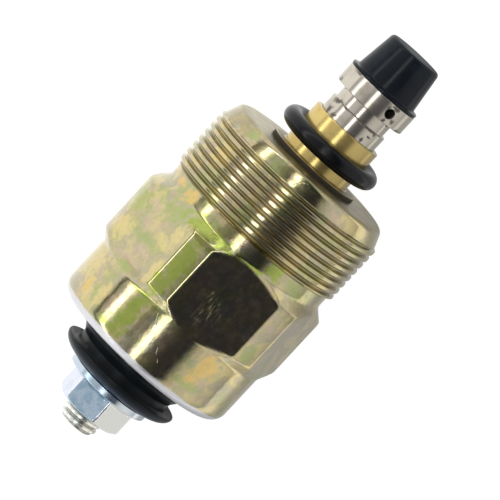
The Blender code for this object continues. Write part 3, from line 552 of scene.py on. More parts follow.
@dataclass(frozen=True)
class DarkMarkedSteel(TurnedMetal):
    """Turned steel with dark marks at the edges of its collar and barrel, and painted shade inside its cross hole."""

    marks_and_hole_shade: Coat = Coat((0.045, 0.038, 0.030), 1.0, 0.35, 0.2)
    marks: tuple[Mark, ...] = (
        (9.75, -83, 0.45, 5), (9.6, 46, 0.3, 6), (11.9, 16, 0.12, 7), (10.4, 26, 0.28, 3), (11.75, 19, 0.16, 4),
        (9.9, 12, 0.3, 2.5), (11.95, -60, 0.12, 9), (7.85, -67, 0.30, 9), (7.95, -40, 0.10, 10),
        (7.92, 12, 0.12, 22), (7.8, 28, 0.16, 3), (6.5, -67, 0.45, 5), (6.4, -52, 0.25, 5), (6.5, 14, 0.40, 3),
        (7.2, 24, 0.12, 6), (9.60, -30, 0.10, 22), (11.4, 7, 0.5, 2), (9.65, 60, 0.25, 8),
    )
    marked: float = 0.85
    mark_edge: float = 1.1
    fray: Cloud = Cloud(0.5, 5.0, 12.0, reach=3.4)
    hole_depth: Span = (4.72, 4.45)
    collar_rear: Span = (9.75, 9.85)

    def paint(self) -> Paint:
        """Add the dark marks and the painted shade in the cross hole to the turned steel."""
        paint = super().paint()
        graph = paint.graph
        # Painted shade: darker inside the cross hole.
        inside = graph.rise(paint.radius, *self.hole_depth) * graph.rise(paint.along, *self.collar_rear)
        marks = paint.marked(self.marks, paint.fray(self.fray), self.mark_edge)
        paint.cover(graph.math("MAXIMUM", marks * self.marked, inside), self.marks_and_hole_shade)
        return paint


@dataclass(frozen=True)
class StainedBrass(TurnedMetal):
    """Turned brass with painted shadow on its flange's top and painted near-black shadow on the flange's side wall."""

    flange_shadow: Coat = Coat((0.20, 0.165, 0.085), 0.45, 0.12)
    painted_dark: Coat = Coat((0.018, 0.015, 0.010), 0.96, 0.4, 0.3)
    foot: Span = (4.75, 4.85)
    inner: Span = (5.87, 5.75)
    edge: Span = (5.97, 6.02)
    above: Span = (0.70, 0.62)
    below: Span = (0.56, 0.48)

    def paint(self) -> Paint:
        """Add the painted shadow on the flange's top and side wall to the brass."""
        paint = super().paint()
        graph, along, radius = paint.graph, paint.along, paint.radius
        flange = graph.rise(radius, *self.foot) * graph.rise(along, *self.above)
        # Painted shadow: the flange darkened, most towards the sleeve.
        paint.cover(flange * (graph.rise(radius, *self.inner) + 1.0), self.flange_shadow)
        # Painted shadow: the flange's side wall painted near black.
        paint.cover(graph.rise(radius, *self.edge) * graph.rise(along, *self.below), self.painted_dark)
        return paint


@dataclass(frozen=True)
class BrightZinc(TurnedMetal):
    """Bright zinc with painted reflections, blue-grey on one side, warm white on the next and dark blue-grey on the
    nut's flange, a painted dark reflection along one of the nut's corners, and painted shade in the stud's thread
    roots.
    """

    blue_reflection: Coat = Coat((0.42, 0.56, 0.66), 0.8, 0.1)
    deep_reflection: Coat = Coat((0.25, 0.38, 0.48), 0.75, 0.05)
    warm_reflection: Coat = Coat((0.90, 0.89, 0.80), 0.85)
    flange_reflection: Coat = Coat((0.43, 0.52, 0.59), 0.6, -0.03)
    painted_dark: Coat = Coat((0.06, 0.05, 0.04), 0.8, 0.3, 0.4)
    shank: Coat = Coat((0.90, 0.89, 0.80), 0.7, 0.03)
    stud_root_shade: Coat = Coat((0.26, 0.24, 0.20), 0.6, 0.15)
    blotches: Cloud = Cloud(0.9, 5.0, 15.0, (0.40, 0.62))
    fray: Cloud = Cloud(0.35, 3.0, 19.0, reach=3.0)
    blue_side: Band = (-54.0, 1.0, 2.5)
    warm_side: Band = (4.5, 80.0, 2.5)
    flange: Span = (4.62, 4.78)
    edge: Band = (2.2, 4.2, 0.9)
    nut: Band = (-38.55, -35.9, 0.1)
    stud: Span = (-38.55, -38.6)
    root: Span = (2.2, 2.02)

    def paint(self) -> Paint:
        """Add the painted reflections and the painted shade to the zinc."""
        paint = super().paint()
        graph = paint.graph
        blue_reflection = graph.band(paint.turn, *self.blue_side)
        edge = graph.band(paint.turn + paint.fray(self.fray), *self.edge)
        stud = graph.rise(paint.along, *self.stud)
        # Painted reflections: blue-grey, with darker blotches, over the turns of the nut's middle face, and warm white
        # over the next faces.
        paint.cover(blue_reflection, self.blue_reflection)
        paint.cover(blue_reflection * paint.clouds(self.blotches), self.deep_reflection)
        paint.cover(graph.band(paint.turn, *self.warm_side), self.warm_reflection)
        # Painted reflection: the nut's flange painted darker blue-grey, where it mirrors the boot.
        paint.cover(graph.rise(paint.radius, *self.flange), self.flange_reflection)
        # Painted dark reflection along the nut's corner between its middle face and the next.
        paint.cover(edge * graph.band(paint.along, *self.nut), self.painted_dark)
        paint.cover(stud, self.shank)
        # Painted shade: darker in the stud's thread roots.
        paint.cover(graph.rise(paint.radius, *self.root) * stud, self.stud_root_shade)
        return paint


@dataclass(frozen=True)
class Nonmetal:
    """Rubber, moulding, board or tape with a faint bloom, and perhaps a painted reflection, painted highlights and a
    matt end.
    """

    name: str
    colour: Colour
    bloom: Colour
    roughness: float
    gloss: float = 0.5
    cloud: Cloud = Cloud(2.4, 3.0, 6.0, (0.45, 0.75))
    grain: Cloud = Cloud(0.25, 2.0, 8.0)
    depth: float = 0.004
    dulling: Span = (0.3, 0.7)
    dulled: float = 0.1
    reflection_along: Span | None = None
    painted_reflection: Coat = Coat((0.011, 0.028, 0.058), 0.8)
    highlight_marks: tuple[Mark, ...] = ()
    painted_highlight: Coat = Coat((0.10, 0.095, 0.08), 0.6)
    highlight_edge: float = 1.2
    fray: Cloud = Cloud(0.7, 4.0, 13.0, reach=2.4)
    matt: Span | None = None
    matted: float = 0.3

    def material(self) -> Material:
        """Build the material."""
        paint = Paint(self.name, {"Specular IOR Level": self.gloss})
        graph = paint.graph
        cloud = paint.noise(self.cloud)
        paint.feed("Base Color", graph.blend(graph.rise(cloud, *self.cloud.levels), self.colour, self.bloom))
        if self.reflection_along:
            # Painted reflection: dark blue beyond a place on the axis, on the boot's underside.
            paint.cover(graph.rise(paint.along, *self.reflection_along), self.painted_reflection)
        # Painted highlights: lighter grey-tan marks where given.
        if self.highlight_marks:
            paint.cover(paint.marked(self.highlight_marks, paint.fray(self.fray), self.highlight_edge), self.painted_highlight)
        rough = graph.rise(cloud, *self.dulling, self.roughness, self.roughness + self.dulled)
        if self.matt:
            rough = rough + graph.rise(paint.along, *self.matt) * self.matted
        paint.feed("Roughness", rough)
        paint.bump(paint.noise(self.grain), self.depth)
        return paint.material


def insulation(name: str, colour: Colour, fleck: Colour, roughness: float, size: float) -> Nonmetal:
    """Describe dull insulating stuff, flecked by a pattern of a size."""
    flecks = Cloud(size, 4.0, 2.0, (0.4, 0.65))
    return Nonmetal(name, colour, fleck, roughness, cloud=flecks, grain=flecks, depth=0.01)


def rounded(corners: Sequence[Corner], longest: float, step: float) -> list[Point]:
    """Turn corners into the points of an outline.

    Args:
        corners: Places on the axis with radii; a third number is the radius of a fillet, which takes no
            more than SIDE_SHARE of a side.
        longest: No straight stretch is left longer; 0 leaves them all.
        step: Degrees between the points of a fillet.

    Returns:
        Places on the axis with their radii.
    """
    points: list[Vector] = []
    for i, (x, r, *fillet) in enumerate(corners):
        here = Vector((x, r))
        if not fillet:
            points.append(here)
            continue
        back, on = (Vector(corners[(i + side) % len(corners)][:2]) - here for side in (-1, 1))
        half = back.angle(on) / 2
        reach = min(fillet[0] / math.tan(half), SIDE_SHARE * back.length, SIDE_SHARE * on.length)
        middle = (back.normalized() + on.normalized()).normalized()
        centre = here + middle * math.hypot(reach, reach * math.tan(half))
        start = here + back.normalized() * reach - centre
        sweep = start.angle_signed(here + on.normalized() * reach - centre)
        count = max(2, round(math.degrees(abs(sweep)) / step))
        points += [centre + Matrix.Rotation(-sweep * k / count, 2) @ start for k in range(count + 1)]
    dense: list[Point] = []
    for point, following in zip(points, [*points[1:], points[-1]]):
        parts = max(math.ceil((following - point).length / longest), 1) if longest else 1
        dense += [tuple(point.lerp(following, k / parts)) for k in range(parts)]
    return dense


def even_turns(count: int) -> list[float]:
    """Angles of evenly spaced columns, in radians."""
    return [CIRCLE * i / count for i in range(count)]


def whole_mesh(name: str, form: bmesh.types.BMesh, sharp: float = 35.0) -> Mesh:
    """Close a mesh's seams, which are SEAM metres wide, face it outwards and shade it.

    Args:
        name: The mesh's name.
        form: The mesh under construction, which is freed.
        sharp: Edges that bend by more degrees stay sharp.

    Returns:
        The finished mesh.
    """
    bmesh.ops.remove_doubles(form, verts=form.verts, dist=SEAM)
    bmesh.ops.recalc_face_normals(form, faces=form.faces)
    if form.calc_volume(signed=True) < 0:
        bmesh.ops.reverse_faces(form, faces=form.faces)
    mesh = bpy.data.meshes.new(name)
    form.to_mesh(mesh)
    form.free()
    mesh.shade_smooth()
    mesh.set_sharp_from_angle(angle=math.radians(sharp))
    return mesh


def turned(name: str, corners: Sequence[Corner], columns: Fineness | Sequence[float] = Fineness.ROUND,
           shape: Callable[[float, float, float], float] | None = None,
           longest: float = 0.0, step: float = 9.0) -> Mesh:
    """Turn an outline about the axis into a closed mesh.

    Args:
        name: The mesh's name.
        corners: The outline's corners: a loop, or a line with both ends on the axis.
        columns: How many columns go round, or their turns in radians, rising.
        shape: Gives a point's radius from its place, outline radius and turn in radians.
        longest: No straight stretch of the outline is left longer; 0 leaves them all.
        step: Degrees between the points of a fillet.

    Returns:
        The mesh.
    """
    turns = even_turns(columns.value) if isinstance(columns, Fineness) else columns
    form = bmesh.new()
    rows = []
    for x, r in rounded(corners, longest, step):
        if r < ON_AXIS:
            rows.append([form.verts.new((x * MM, 0.0, 0.0))] * len(turns))
            continue
        radii = [(shape(x, r, turn) if shape else r) * MM for turn in turns]
        rows.append([form.verts.new((x * MM, -radius * math.sin(turn), radius * math.cos(turn)))
                     for radius, turn in zip(radii, turns)])
    if corners[0][1] > ON_AXIS:
        rows.append(rows[0])
    for low, high in zip(rows, rows[1:]):
        for j in range(len(turns)):
            k = (j + 1) % len(turns)
            ring = list(dict.fromkeys((low[j], low[k], high[k], high[j])))
            if len(ring) > 2:
                form.faces.new(ring)
    return whole_mesh(name, form)


def placed(name: str, data: bpy.types.ID) -> Item:
    """Add an object to the scene.

    Args:
        name: The object's name.
        data: Its mesh or camera.

    Returns:
        The object.
    """
    item = bpy.data.objects.new(name, data)
    bpy.context.scene.collection.objects.link(item)
    return item


def applied(item: Item) -> bmesh.types.BMesh:
    """Run an object's modifiers and take the object away.

    Args:
        item: The object.

    Returns:
        The mesh that the modifiers made, under construction.
    """
    bpy.context.view_layer.update()
    raw = bpy.data.meshes.new_from_object(item.evaluated_get(bpy.context.evaluated_depsgraph_get()))
    form = bmesh.new()
    form.from_mesh(raw)
    item.modifiers.clear()
    bpy.data.objects.remove(item)
    bpy.data.meshes.remove(raw)
    return form


def piece(name: str, mesh: Mesh, material: Material, node: str,
          carrier: Carrier = Carrier.HOUSING) -> Item:
    """Make a finished piece of the scene.

    Args:
        name: The piece's name.
        mesh: Its mesh, in the frame's metres.
        material: Its finish.
        node: The plain solid that it stands for.
        carrier: The body that it rides on.

    Returns:
        The new object.
    """
    item = placed(name, mesh)
    mesh.materials.clear()
    mesh.materials.append(material)
    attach(item, carrier.value)
    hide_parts(node)
    LOG.info("%s: %d faces on %s", name, len(mesh.polygons), carrier.value)
    return item


def ends(node: str) -> Span:
    """Where a solid of the frame begins and ends along the axis."""
    low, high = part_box(node)
    return low.x / MM, high.x / MM


def soft_min(first: float, second: float, width: float) -> float:
    """Smaller of two lengths, with the corner between them rounded over a width."""
    share = max(width - abs(first - second), 0.0) / width if width > 0.0 else 0.0
    return min(first, second) - share * share * width / 4


def hex_radius(across_flats: float, turn: float, face: float = 0.0) -> float:
    """Radius of a hexagon at a turn, with one face's middle at another turn, in radians."""
    sixth = CIRCLE / 6
    return across_flats / 2 / math.cos((turn - face + sixth / 2) % sixth - sixth / 2)


class NodeGroup:
    """A Geometry Nodes group with named inputs, run once on a piece and then taken off."""

    def __init__(self, name: str, inputs: dict[str, float | int]) -> None:
        """Start a group.

        Args:
            name: The group's name.
            inputs: Its named inputs with their values; whole numbers make integer inputs.
        """
        self.name = name
        self.values = inputs
        self.tree = bpy.data.node_groups.new(name, "GeometryNodeTree")
        self.graph = Graph(self.tree)
        kinds = {key: "Int" if isinstance(value, int) else "Float" for key, value in inputs.items()}
        for key, kind in {**kinds, "Finish": "Material"}.items():
            self.tree.interface.new_socket(key, in_out="INPUT", socket_type=f"NodeSocket{kind}")
        self.tree.interface.new_socket("Geometry", in_out="OUTPUT", socket_type="NodeSocketGeometry")
        self.entry = self.graph.node("NodeGroupInput")

    def __getitem__(self, key: str) -> Value:
        """One of the group's inputs."""
        return self.graph.output(self.entry, key)

    def bake(self, geometry: Value, material: Material, sharp: float = 35.0) -> Mesh:
        """Close the group, run it and return its mesh.

        Args:
            geometry: What the group makes.
            material: Finish for it.
            sharp: Edges that bend by more degrees stay sharp.

        Returns:
            The mesh, with its seams closed.
        """
        real = self.graph.value("GeometryNodeRealizeInstances", {"Geometry": geometry})
        dressed = self.graph.value("GeometryNodeSetMaterial", {"Geometry": real, "Material": self["Finish"]})
        self.graph.node("NodeGroupOutput", {"Geometry": dressed})
        host = placed(self.name, bpy.data.meshes.new(self.name))
        modifier = host.modifiers.new(self.name, "NODES")
        modifier.node_group = self.tree
        values = {**self.values, "Finish": material}
        for item in self.tree.interface.items_tree:
            if item.in_out == "INPUT":
                modifier[item.identifier] = values[item.name]
        return whole_mesh(self.name, applied(host), sharp)


@dataclass
class ScrewThread:
    """An outside right-hand thread as one closed ring, made by Geometry Nodes."""

    name: str
    crest: float
    root: float
    inner: float
    pitch: float
    phase: float
    front: float
    rear: float
    front_radius: float
    front_slope: float
    rear_radius: float
    rear_slope: float
    steps: int = 16
    sharp: float = 50.0

    FLANKS = ((0.90, 0.27), (0.82, 0.37))
    WELD = 0.0005 * MM

    def mesh(self, material: Material) -> Mesh:
        """Wind the thread as a grid whose rows follow the helix.

        Args:
            material: Its finish.

        Returns:
            The ring's mesh.
        """
        pitches = math.ceil((self.phase - self.rear) / self.pitch) + 1
        lengths = ("crest", "root", "inner", "pitch", "phase", "front", "rear", "front_radius", "rear_radius")
        group = NodeGroup(self.name, {
            **{key.replace("_", " ").title(): getattr(self, key) * MM for key in lengths},
            "Front Slope": self.front_slope, "Rear Slope": self.rear_slope,
            "Rows": pitches * self.steps + 2, "Columns": Fineness.THREAD.value + 1,
        })
        graph = group.graph
        grid = graph.value("GeometryNodeMeshGrid", {
            "Size X": 1.0, "Size Y": 1.0, "Vertices X": group["Columns"], "Vertices Y": group["Rows"],
        })
        column, line, _ = graph.split(graph.value("GeometryNodeInputPosition"))
        share = column + 0.5
        last = group["Rows"] - 1.0
        row = graph.math("ROUND", (line + 0.5) * last)
        wound = row * (1 / self.steps)
        x = group["Phase"] + group["Pitch"] * (share - wound)
        from_crest = graph.math("PINGPONG", wound, 0.5) * 2.0
        height = graph.fold("ADD", (graph.rise(from_crest, *flank) for flank in self.FLANKS)) * 0.5
        free = group["Root"] + (group["Crest"] - group["Root"]) * height
        front = group["Front Radius"] + (group["Front"] - x) * group["Front Slope"]
        rear = group["Rear Radius"] + (x - group["Rear"]) * group["Rear Slope"]
        within = (graph.math("LESS_THAN", x, group["Front"]) * graph.math("GREATER_THAN", x, group["Rear"])
                  * graph.math("LESS_THAN", row, last - 0.5))
        radius = group["Inner"] + (graph.fold("MINIMUM", (free, front, rear)) - group["Inner"]) * within
        x = graph.math("MAXIMUM", graph.math("MINIMUM", x, group["Front"]), group["Rear"])
        x = x + (group["Front"] - x) * graph.math("GREATER_THAN", row, last - 0.5)
        turn = share * CIRCLE
        point = graph.vector(x, -(radius * graph.math("SINE", turn)), radius * graph.math("COSINE", turn))
        shaped = graph.value("GeometryNodeSetPosition", {"Geometry": grid, "Position": point})
        merged = graph.value("GeometryNodeMergeByDistance", {"Geometry": shaped, "Distance": self.WELD})
        return group.bake(merged, material, self.sharp)


@dataclass
class BodyShell:
    """Steel body: nose, fine thread, relief, flared hexagon with round lands, skirt and rolled rim."""

    finish: YellowZinc
    nose_tip: float = 10.8
    nose: float = 11.55
    nose_edge: float = 0.9
    thread_front: float = -2.3
    thread_rear: float = -9.55
    thread_runout: float = 0.28
    thread_crest: float = 11.95
    thread_root: float = 11.36
    thread_pitch: float = 1.0
    thread_bed: float = 11.22
    thread_inner: float = 11.23
    thread_phase: float = -1.73
    thread_slopes: Span = (1.0, 2.0)
    relief: float = 11.42
    relief_rear: float = -11.45
    flare_fillet: float = 0.8
    wrench_front: float = -13.05
    wrench_rear: float = -20.85
    skirt_front: float = -22.25
    skirt_fillet: float = 0.9
    skirt: float = 11.97
    skirt_corner: float = 1.7
    rim_thickness: float = 1.2
    rim_opening: float = 7.75
    rim_edge: float = 0.4
    cavity: float = 10.1
    front_wall: float = 3.2
    sleeve_hole: float = 5.3
    seat: float = 6.15
    seat_depth: float = 0.1
    edge: float = 0.12
    edge_fade: float = 0.2
    edge_columns: int = 5
    edge_spacing: float = 0.0045
    flat_columns: int = 14
    land_columns: int = 5

    def __post_init__(self) -> None:
        """Read the overall sizes from the frame."""
        low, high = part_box("body")
        self.length = -low.x / MM
        self.across_flats = (high.z - low.z) / MM
        self.land = max(high.y, -low.y) / MM
        self.bed_front = self.thread_front + self.thread_crest - self.nose
        self.bed_rear = self.thread_rear - self.thread_runout

    def outline(self) -> list[Corner]:
        """Section of the body, as a loop from the sleeve's hole round the outside and back inside."""
        rim_front = -self.length + self.rim_thickness
        return [
            (-self.seat_depth, self.sleeve_hole), (-self.seat_depth, self.seat),
            (0.0, self.seat), (0.0, self.nose_tip, self.nose_edge),
            (self.bed_front, self.nose), (self.bed_front, self.thread_bed),
            (self.bed_rear, self.thread_bed), (self.bed_rear, self.relief),
            (self.relief_rear, self.relief, self.flare_fillet),
            (self.wrench_front, self.land, self.flare_fillet),
            (self.wrench_rear, self.land, self.skirt_fillet),
            (self.skirt_front, self.skirt, self.skirt_fillet),
            (-self.length, self.skirt, self.skirt_corner), (-self.length, self.rim_opening, self.rim_edge),
            (rim_front, self.rim_opening), (rim_front, self.cavity),
            (-self.front_wall, self.cavity), (-self.front_wall, self.sleeve_hole),
        ]

    def turns(self) -> list[float]:
        """Columns about the axis, closer together where the flats meet the lands, in radians."""
        meet = math.acos(self.across_flats / 2 / self.land)
        corner = CIRCLE / 12
        edge, flat, land = self.edge_columns, self.flat_columns, self.land_columns
        offsets = {round(meet + k * self.edge_spacing, 5) for k in range(-edge, edge + 1)}
        offsets |= {round(k * meet / flat, 5) for k in range(flat)}
        offsets |= {round(meet + k * (corner - meet) / land, 5) for k in range(1, land + 1)}
        near = [side * offset for offset in offsets if offset <= corner for side in (-1, 1)]
        return sorted({round((face * CIRCLE / 6 + offset) % CIRCLE, 4) for face in range(6) for offset in near})

    def shape(self, x: float, r: float, turn: float) -> float:
        """Cut the six flats into the turned form.

        Args:
            x: Place on the axis.
            r: Radius of the turned form there.
            turn: Turn about the axis, in radians.

        Returns:
            The radius with the flats cut.
        """
        proud = min(max((r - self.across_flats / 2) / self.edge_fade, 0.0), 1.0)
        return soft_min(r, hex_radius(self.across_flats, turn), self.edge * proud)

    def build(self) -> None:
        """Make the body and its thread."""
        material = self.finish.material()
        mesh = turned("body_shell", self.outline(), self.turns(), self.shape, longest=0.5, step=4.0)
        piece("body_shell", mesh, material, "body")
        front_slope, rear_slope = self.thread_slopes
        thread = ScrewThread(
            "body_thread", self.thread_crest, self.thread_root, self.thread_inner, self.thread_pitch,
            self.thread_phase, self.bed_front, self.bed_rear, self.nose, front_slope, self.relief, rear_slope,
        )
        piece("body_thread", thread.mesh(material), material, "body")


@dataclass
class Guide:
    """Brass sleeve that guides the plunger, with the rubber ring on it."""

    brass: TurnedMetal
    rubber: Nonmetal
    bore: float = 3.95
    outer: float = 4.6
    flange: float = 6.05
    flange_front: float = 0.58
    flange_rear: float = -0.05
    flange_root: float = 0.1
    flange_edges: Span = (0.06, 0.04)
    shoulder: float = 5.2
    shoulder_rear: float = -3.2
    lip: float = 0.15
    ring_section: float = 2.14
    ring_gap: float = 0.04
    ring_height: float = 3.13
    ring_tilt: Span = (-1.2, -2.0)
    ring_points: int = 40

    def __post_init__(self) -> None:
        """Read the sleeve's ends from the frame."""
        self.end, self.mouth = ends("guide_sleeve")

    def sleeve(self) -> Mesh:
        """Tube with a rolled mouth, a flange on the body's face and a shoulder in the front wall."""
        front_edge, rear_edge = self.flange_edges
        return turned("sleeve", [
            (self.mouth, self.bore, self.lip), (self.mouth, self.outer, self.lip),
            (self.flange_front, self.outer, self.flange_root), (self.flange_front, self.flange, front_edge),
            (self.flange_rear, self.flange, rear_edge), (self.flange_rear, self.shoulder),
            (self.shoulder_rear, self.shoulder), (self.shoulder_rear, self.outer),
            (self.end, self.outer), (self.end, self.bore),
        ], longest=1.0)

    def ring(self) -> Mesh:
        """Ring with a round section, lying askew on the sleeve."""
        half = self.ring_section / 2
        mean = self.outer + self.ring_gap + half
        turns = even_turns(self.ring_points)
        mesh = turned("sleeve_ring", [(half * math.cos(turn), mean + half * math.sin(turn)) for turn in turns])
        side, back = (math.radians(angle) for angle in self.ring_tilt)
        axis = Matrix.Rotation(math.pi / 2, 4, "Y")
        lean = axis @ Euler((side, back, 0.0)).to_matrix().to_4x4() @ axis.inverted()
        mesh.transform(Matrix.Translation((self.ring_height * MM, 0.0, 0.0)) @ lean)
        return mesh

    def build(self) -> None:
        """Make the sleeve and its ring."""
        piece("sleeve", self.sleeve(), self.brass.material(), "guide_sleeve")
        piece("sleeve_ring", self.ring(), self.rubber.material(), "sleeve_o_ring")


@dataclass
class Armature:
    """Plunger with its collar, and the rubber cone moulded on its stem."""

    steel: TurnedMetal
    rubber: Nonmetal
    barrel: float = 3.9
    neck: float = 3.52
    neck_front: float = 9.66
    neck_rear: float = 8.03
    neck_root: float = 0.08
    collar: float = 4.81
    collar_front: float = 12.10
    edge: float = 0.12
    hole: float = 1.3
    hole_place: float = 10.929
    hole_turn: float = 14.3
    spring_bore: float = 2.1
    spring_bore_end: float = -3.0
    vent: float = 0.5
    stem: float = 1.5
    stem_head: float = 2.2
    stem_head_thickness: float = 1.2
    cone_foot: float = 4.2
    cone_tip: float = 3.53
    cone_edge: float = 0.45
    cone_root: float = 0.25
    lip: float = 4.8
    lip_thickness: float = 0.3
    lip_slope: float = 0.15
    lip_edge: float = 0.05
    gap: float = 0.3

    DRILL_SIDES = 48
    DRILL_LENGTH = 2.4

    def __post_init__(self) -> None:
        """Read the ends of both pieces from the frame."""
        self.rear, self.front = ends("plunger")
        self.foot, self.tip = ends("valve_cone")
        self.head_base = self.front - self.stem_head_thickness

    def plunger(self) -> Mesh:
        """Turned plunger with a cross hole through its collar."""
        mesh = turned("armature_plunger", [
            (self.front, 0.0), (self.front, self.stem_head, self.edge), (self.head_base, self.stem_head),
            (self.head_base, self.stem), (self.collar_front, self.stem),
            (self.collar_front, self.collar, self.edge), (self.neck_front, self.collar, self.edge),
            (self.neck_front, self.neck, self.neck_root), (self.neck_rear, self.neck, self.neck_root),
            (self.neck_rear, self.barrel, self.edge), (self.rear, self.barrel, self.edge),
            (self.rear, self.spring_bore), (self.spring_bore_end, self.spring_bore),
            (self.spring_bore_end, self.vent), (self.hole_place, self.vent), (self.hole_place, 0.0),
        ], longest=0.4)
        form = bmesh.new()
        bmesh.ops.create_cone(form, cap_ends=True, segments=self.DRILL_SIDES, radius1=self.hole / 2 * MM,
                              radius2=self.hole / 2 * MM, depth=self.collar * self.DRILL_LENGTH * MM)
        drill = placed("drill", bpy.data.meshes.new("drill"))
        form.to_mesh(drill.data)
        form.free()
        drill.rotation_euler.x = math.radians(self.hole_turn)
        drill.location.x = self.hole_place * MM
        blank = placed("blank", mesh)
        cut = blank.modifiers.new("hole", "BOOLEAN")
        cut.object, cut.operation, cut.solver = drill, "DIFFERENCE", "EXACT"
        form = applied(blank)
        bpy.data.objects.remove(drill)
        return whole_mesh("armature_plunger", form)

    def cone(self) -> Mesh:
        """Rubber cone with a thin lip at its foot, hollow where the stem and its head sit."""
        lip_top = self.foot + self.lip_thickness
        bore, head = self.stem + self.gap, self.stem_head + self.gap
        return turned("armature_cone", [
            (self.tip, 0.0), (self.tip, self.cone_tip, self.cone_edge),
            (lip_top + self.lip_slope, self.cone_foot, self.cone_root),
            (lip_top, self.lip, self.lip_edge), (self.foot, self.lip, self.lip_edge),
            (self.foot, bore), (self.head_base - self.gap, bore), (self.head_base - self.gap, head),
            (self.front + self.gap, head), (self.front + self.gap, 0.0),
        ], longest=0.5)

    def build(self) -> None:
        """Make the plunger and the cone."""
        steel, rubber = self.steel.material(), self.rubber.material()
        piece("armature_plunger", self.plunger(), steel, "plunger", Carrier.ARMATURE)
        piece("armature_cone", self.cone(), rubber, "valve_cone", Carrier.ARMATURE)


@dataclass
class Terminal:
    """Waisted boot, threaded stud and flange nut at the rear."""

    rubber: Nonmetal
    zinc: TurnedMetal
    boot_bore: float = 2.76
    boot_boss: float = 4.5
    boot_boss_length: float = 1.6
    boot_flange: float = 9.5
    boot_flange_thickness: float = 0.9
    boot_root: float = 7.35
    boot_root_length: float = 0.9
    boot_root_fillet: float = 0.6
    boot_waist: float = 6.57
    boot_waist_start: float = 1.95
    boot_waist_fillet: float = 0.4
    boot_lip: float = 7.98
    boot_lip_edge: Span = (0.08, 0.06)
    boot_face: float = 5.23
    boot_edge: float = 0.1
    boot_dish: float = 0.5
    boot_dome: float = 1.6
    boot_dome_steps: int = 12
    stud: float = 2.46
    stud_root: float = 1.98
    stud_core: float = 1.92
    stud_inner: float = 1.93
    stud_pitch: float = 0.8
    stud_shown: float = 1.0
    stud_gaps: Span = (0.01, 0.02)
    stud_chamfer: float = 0.5
    stud_head: float = 7.2
    stud_head_corner: float = 4.32
    stud_head_thickness: float = 1.4
    nut_across_flats: float = 7.8
    nut_corner: float = 4.47
    nut_corner_start: float = 0.1
    nut_flange_thickness: float = 0.85
    nut_flange_edge: float = 0.18
    nut_flange_slope: float = 0.55
    nut_chamfer: float = 0.42
    nut_bevels: tuple[float, float, float] = (0.3, 0.08, 0.25)
    nut_play: float = 0.05
    nut_face: float = -26.6
    nut_edge: float = 0.08

    def __post_init__(self) -> None:
        """Read the ends of the pieces from the frame."""
        self.boot_rear, self.boot_front = ends("terminal_boot")
        self.stud_rear, self.stud_front = ends("terminal_stud")
        self.nut_rear, self.nut_front = ends("flange_nut")
        self.rim_rear = ends("body")[0]
        low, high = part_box("flange_nut")
        self.nut_flange = (high.z - low.z) / 2 / MM

    def boot(self) -> Mesh:
        """Boot with a hidden flange, a flared foot, a waist, a lip and a domed end."""
        lip_height = self.boot_rear + self.boot_dome
        boss_end = self.boot_front - self.boot_boss_length
        flange_rear = self.boot_front - self.boot_flange_thickness
        edge_height, edge_inset = self.boot_lip_edge
        quarter = [CIRCLE / 4 * i / self.boot_dome_steps for i in range(1, self.boot_dome_steps + 1)]
        return turned("terminal_cap", [
            (self.boot_front, self.boot_boss), (self.boot_front, self.boot_flange),
            (flange_rear, self.boot_flange), (flange_rear, self.boot_root),
            (self.rim_rear - self.boot_root_length, self.boot_root, self.boot_root_fillet),
            (self.rim_rear - self.boot_waist_start, self.boot_waist, self.boot_waist_fillet),
            (lip_height - self.boot_dish, self.boot_waist, self.boot_waist_fillet),
            (lip_height + edge_height, self.boot_lip - edge_inset, self.boot_edge),
            *((lip_height - self.boot_dome * math.sin(angle),
               self.boot_face + (self.boot_lip - self.boot_face) * math.cos(angle)) for angle in quarter),
            (self.boot_rear, self.boot_bore, self.boot_edge),
            (boss_end, self.boot_bore), (boss_end, self.boot_boss),
        ], longest=0.5)

    def shank(self) -> Mesh:
        """Stud's shank and head, with the shank turned down where the thread ring sits."""
        thread_front = self.nut_rear + self.stud_shown
        head_rear = self.stud_front - self.stud_head_thickness
        step = 0.02

        def shape(x: float, r: float, turn: float) -> float:
            """Make the head hexagonal."""
            return min(r, hex_radius(self.stud_head, turn, math.pi)) if x > head_rear - step / 2 else r

        return turned("terminal_shank", [
            (self.stud_front, 0.0), (self.stud_front, self.stud_head_corner),
            (head_rear, self.stud_head_corner), (head_rear - step, self.stud),
            (thread_front, self.stud), (thread_front, self.stud_core),
            (self.stud_rear, self.stud_core, step), (self.stud_rear, 0.0),
        ], shape=shape)

    def nut(self) -> Mesh:
        """Hexagon nut whose corners are turned at its end, on a round flange."""
        face = math.radians(self.nut_face)
        flange_rear = self.nut_front - self.nut_flange_thickness
        cone_rear = flange_rear - self.nut_flange_slope
        half = self.nut_across_flats / 2
        bore = self.stud + self.nut_play
        corner_bevel, end_bevel, bore_bevel = self.nut_bevels

        def shape(x: float, r: float, turn: float) -> float:
            """Cut the six faces above the flange.

            Args:
                x: Place on the axis.
                r: Radius of the turned form there.
                turn: Turn about the axis, in radians.

            Returns:
                The radius with the faces cut.
            """
            if r < half or x > flange_rear:
                return r
            slope = (x - cone_rear) / (flange_rear - cone_rear)
            cut = soft_min(r, hex_radius(self.nut_across_flats, turn, face), self.nut_edge)
            return max(cut, min(half + slope * (self.nut_flange - half), r)) if slope > 0 else cut

        return turned("terminal_nut", [
            (self.nut_front, bore, self.boot_edge), (self.nut_front, self.nut_flange, self.nut_flange_edge),
            (flange_rear, self.nut_flange, self.nut_flange_edge),
            (cone_rear + self.nut_corner_start, self.nut_corner),
            (self.nut_rear + self.nut_chamfer, self.nut_corner, corner_bevel),
            (self.nut_rear, half - self.nut_corner_start, end_bevel), (self.nut_rear, bore, bore_bevel),
        ], Fineness.THREAD, shape, longest=0.12)

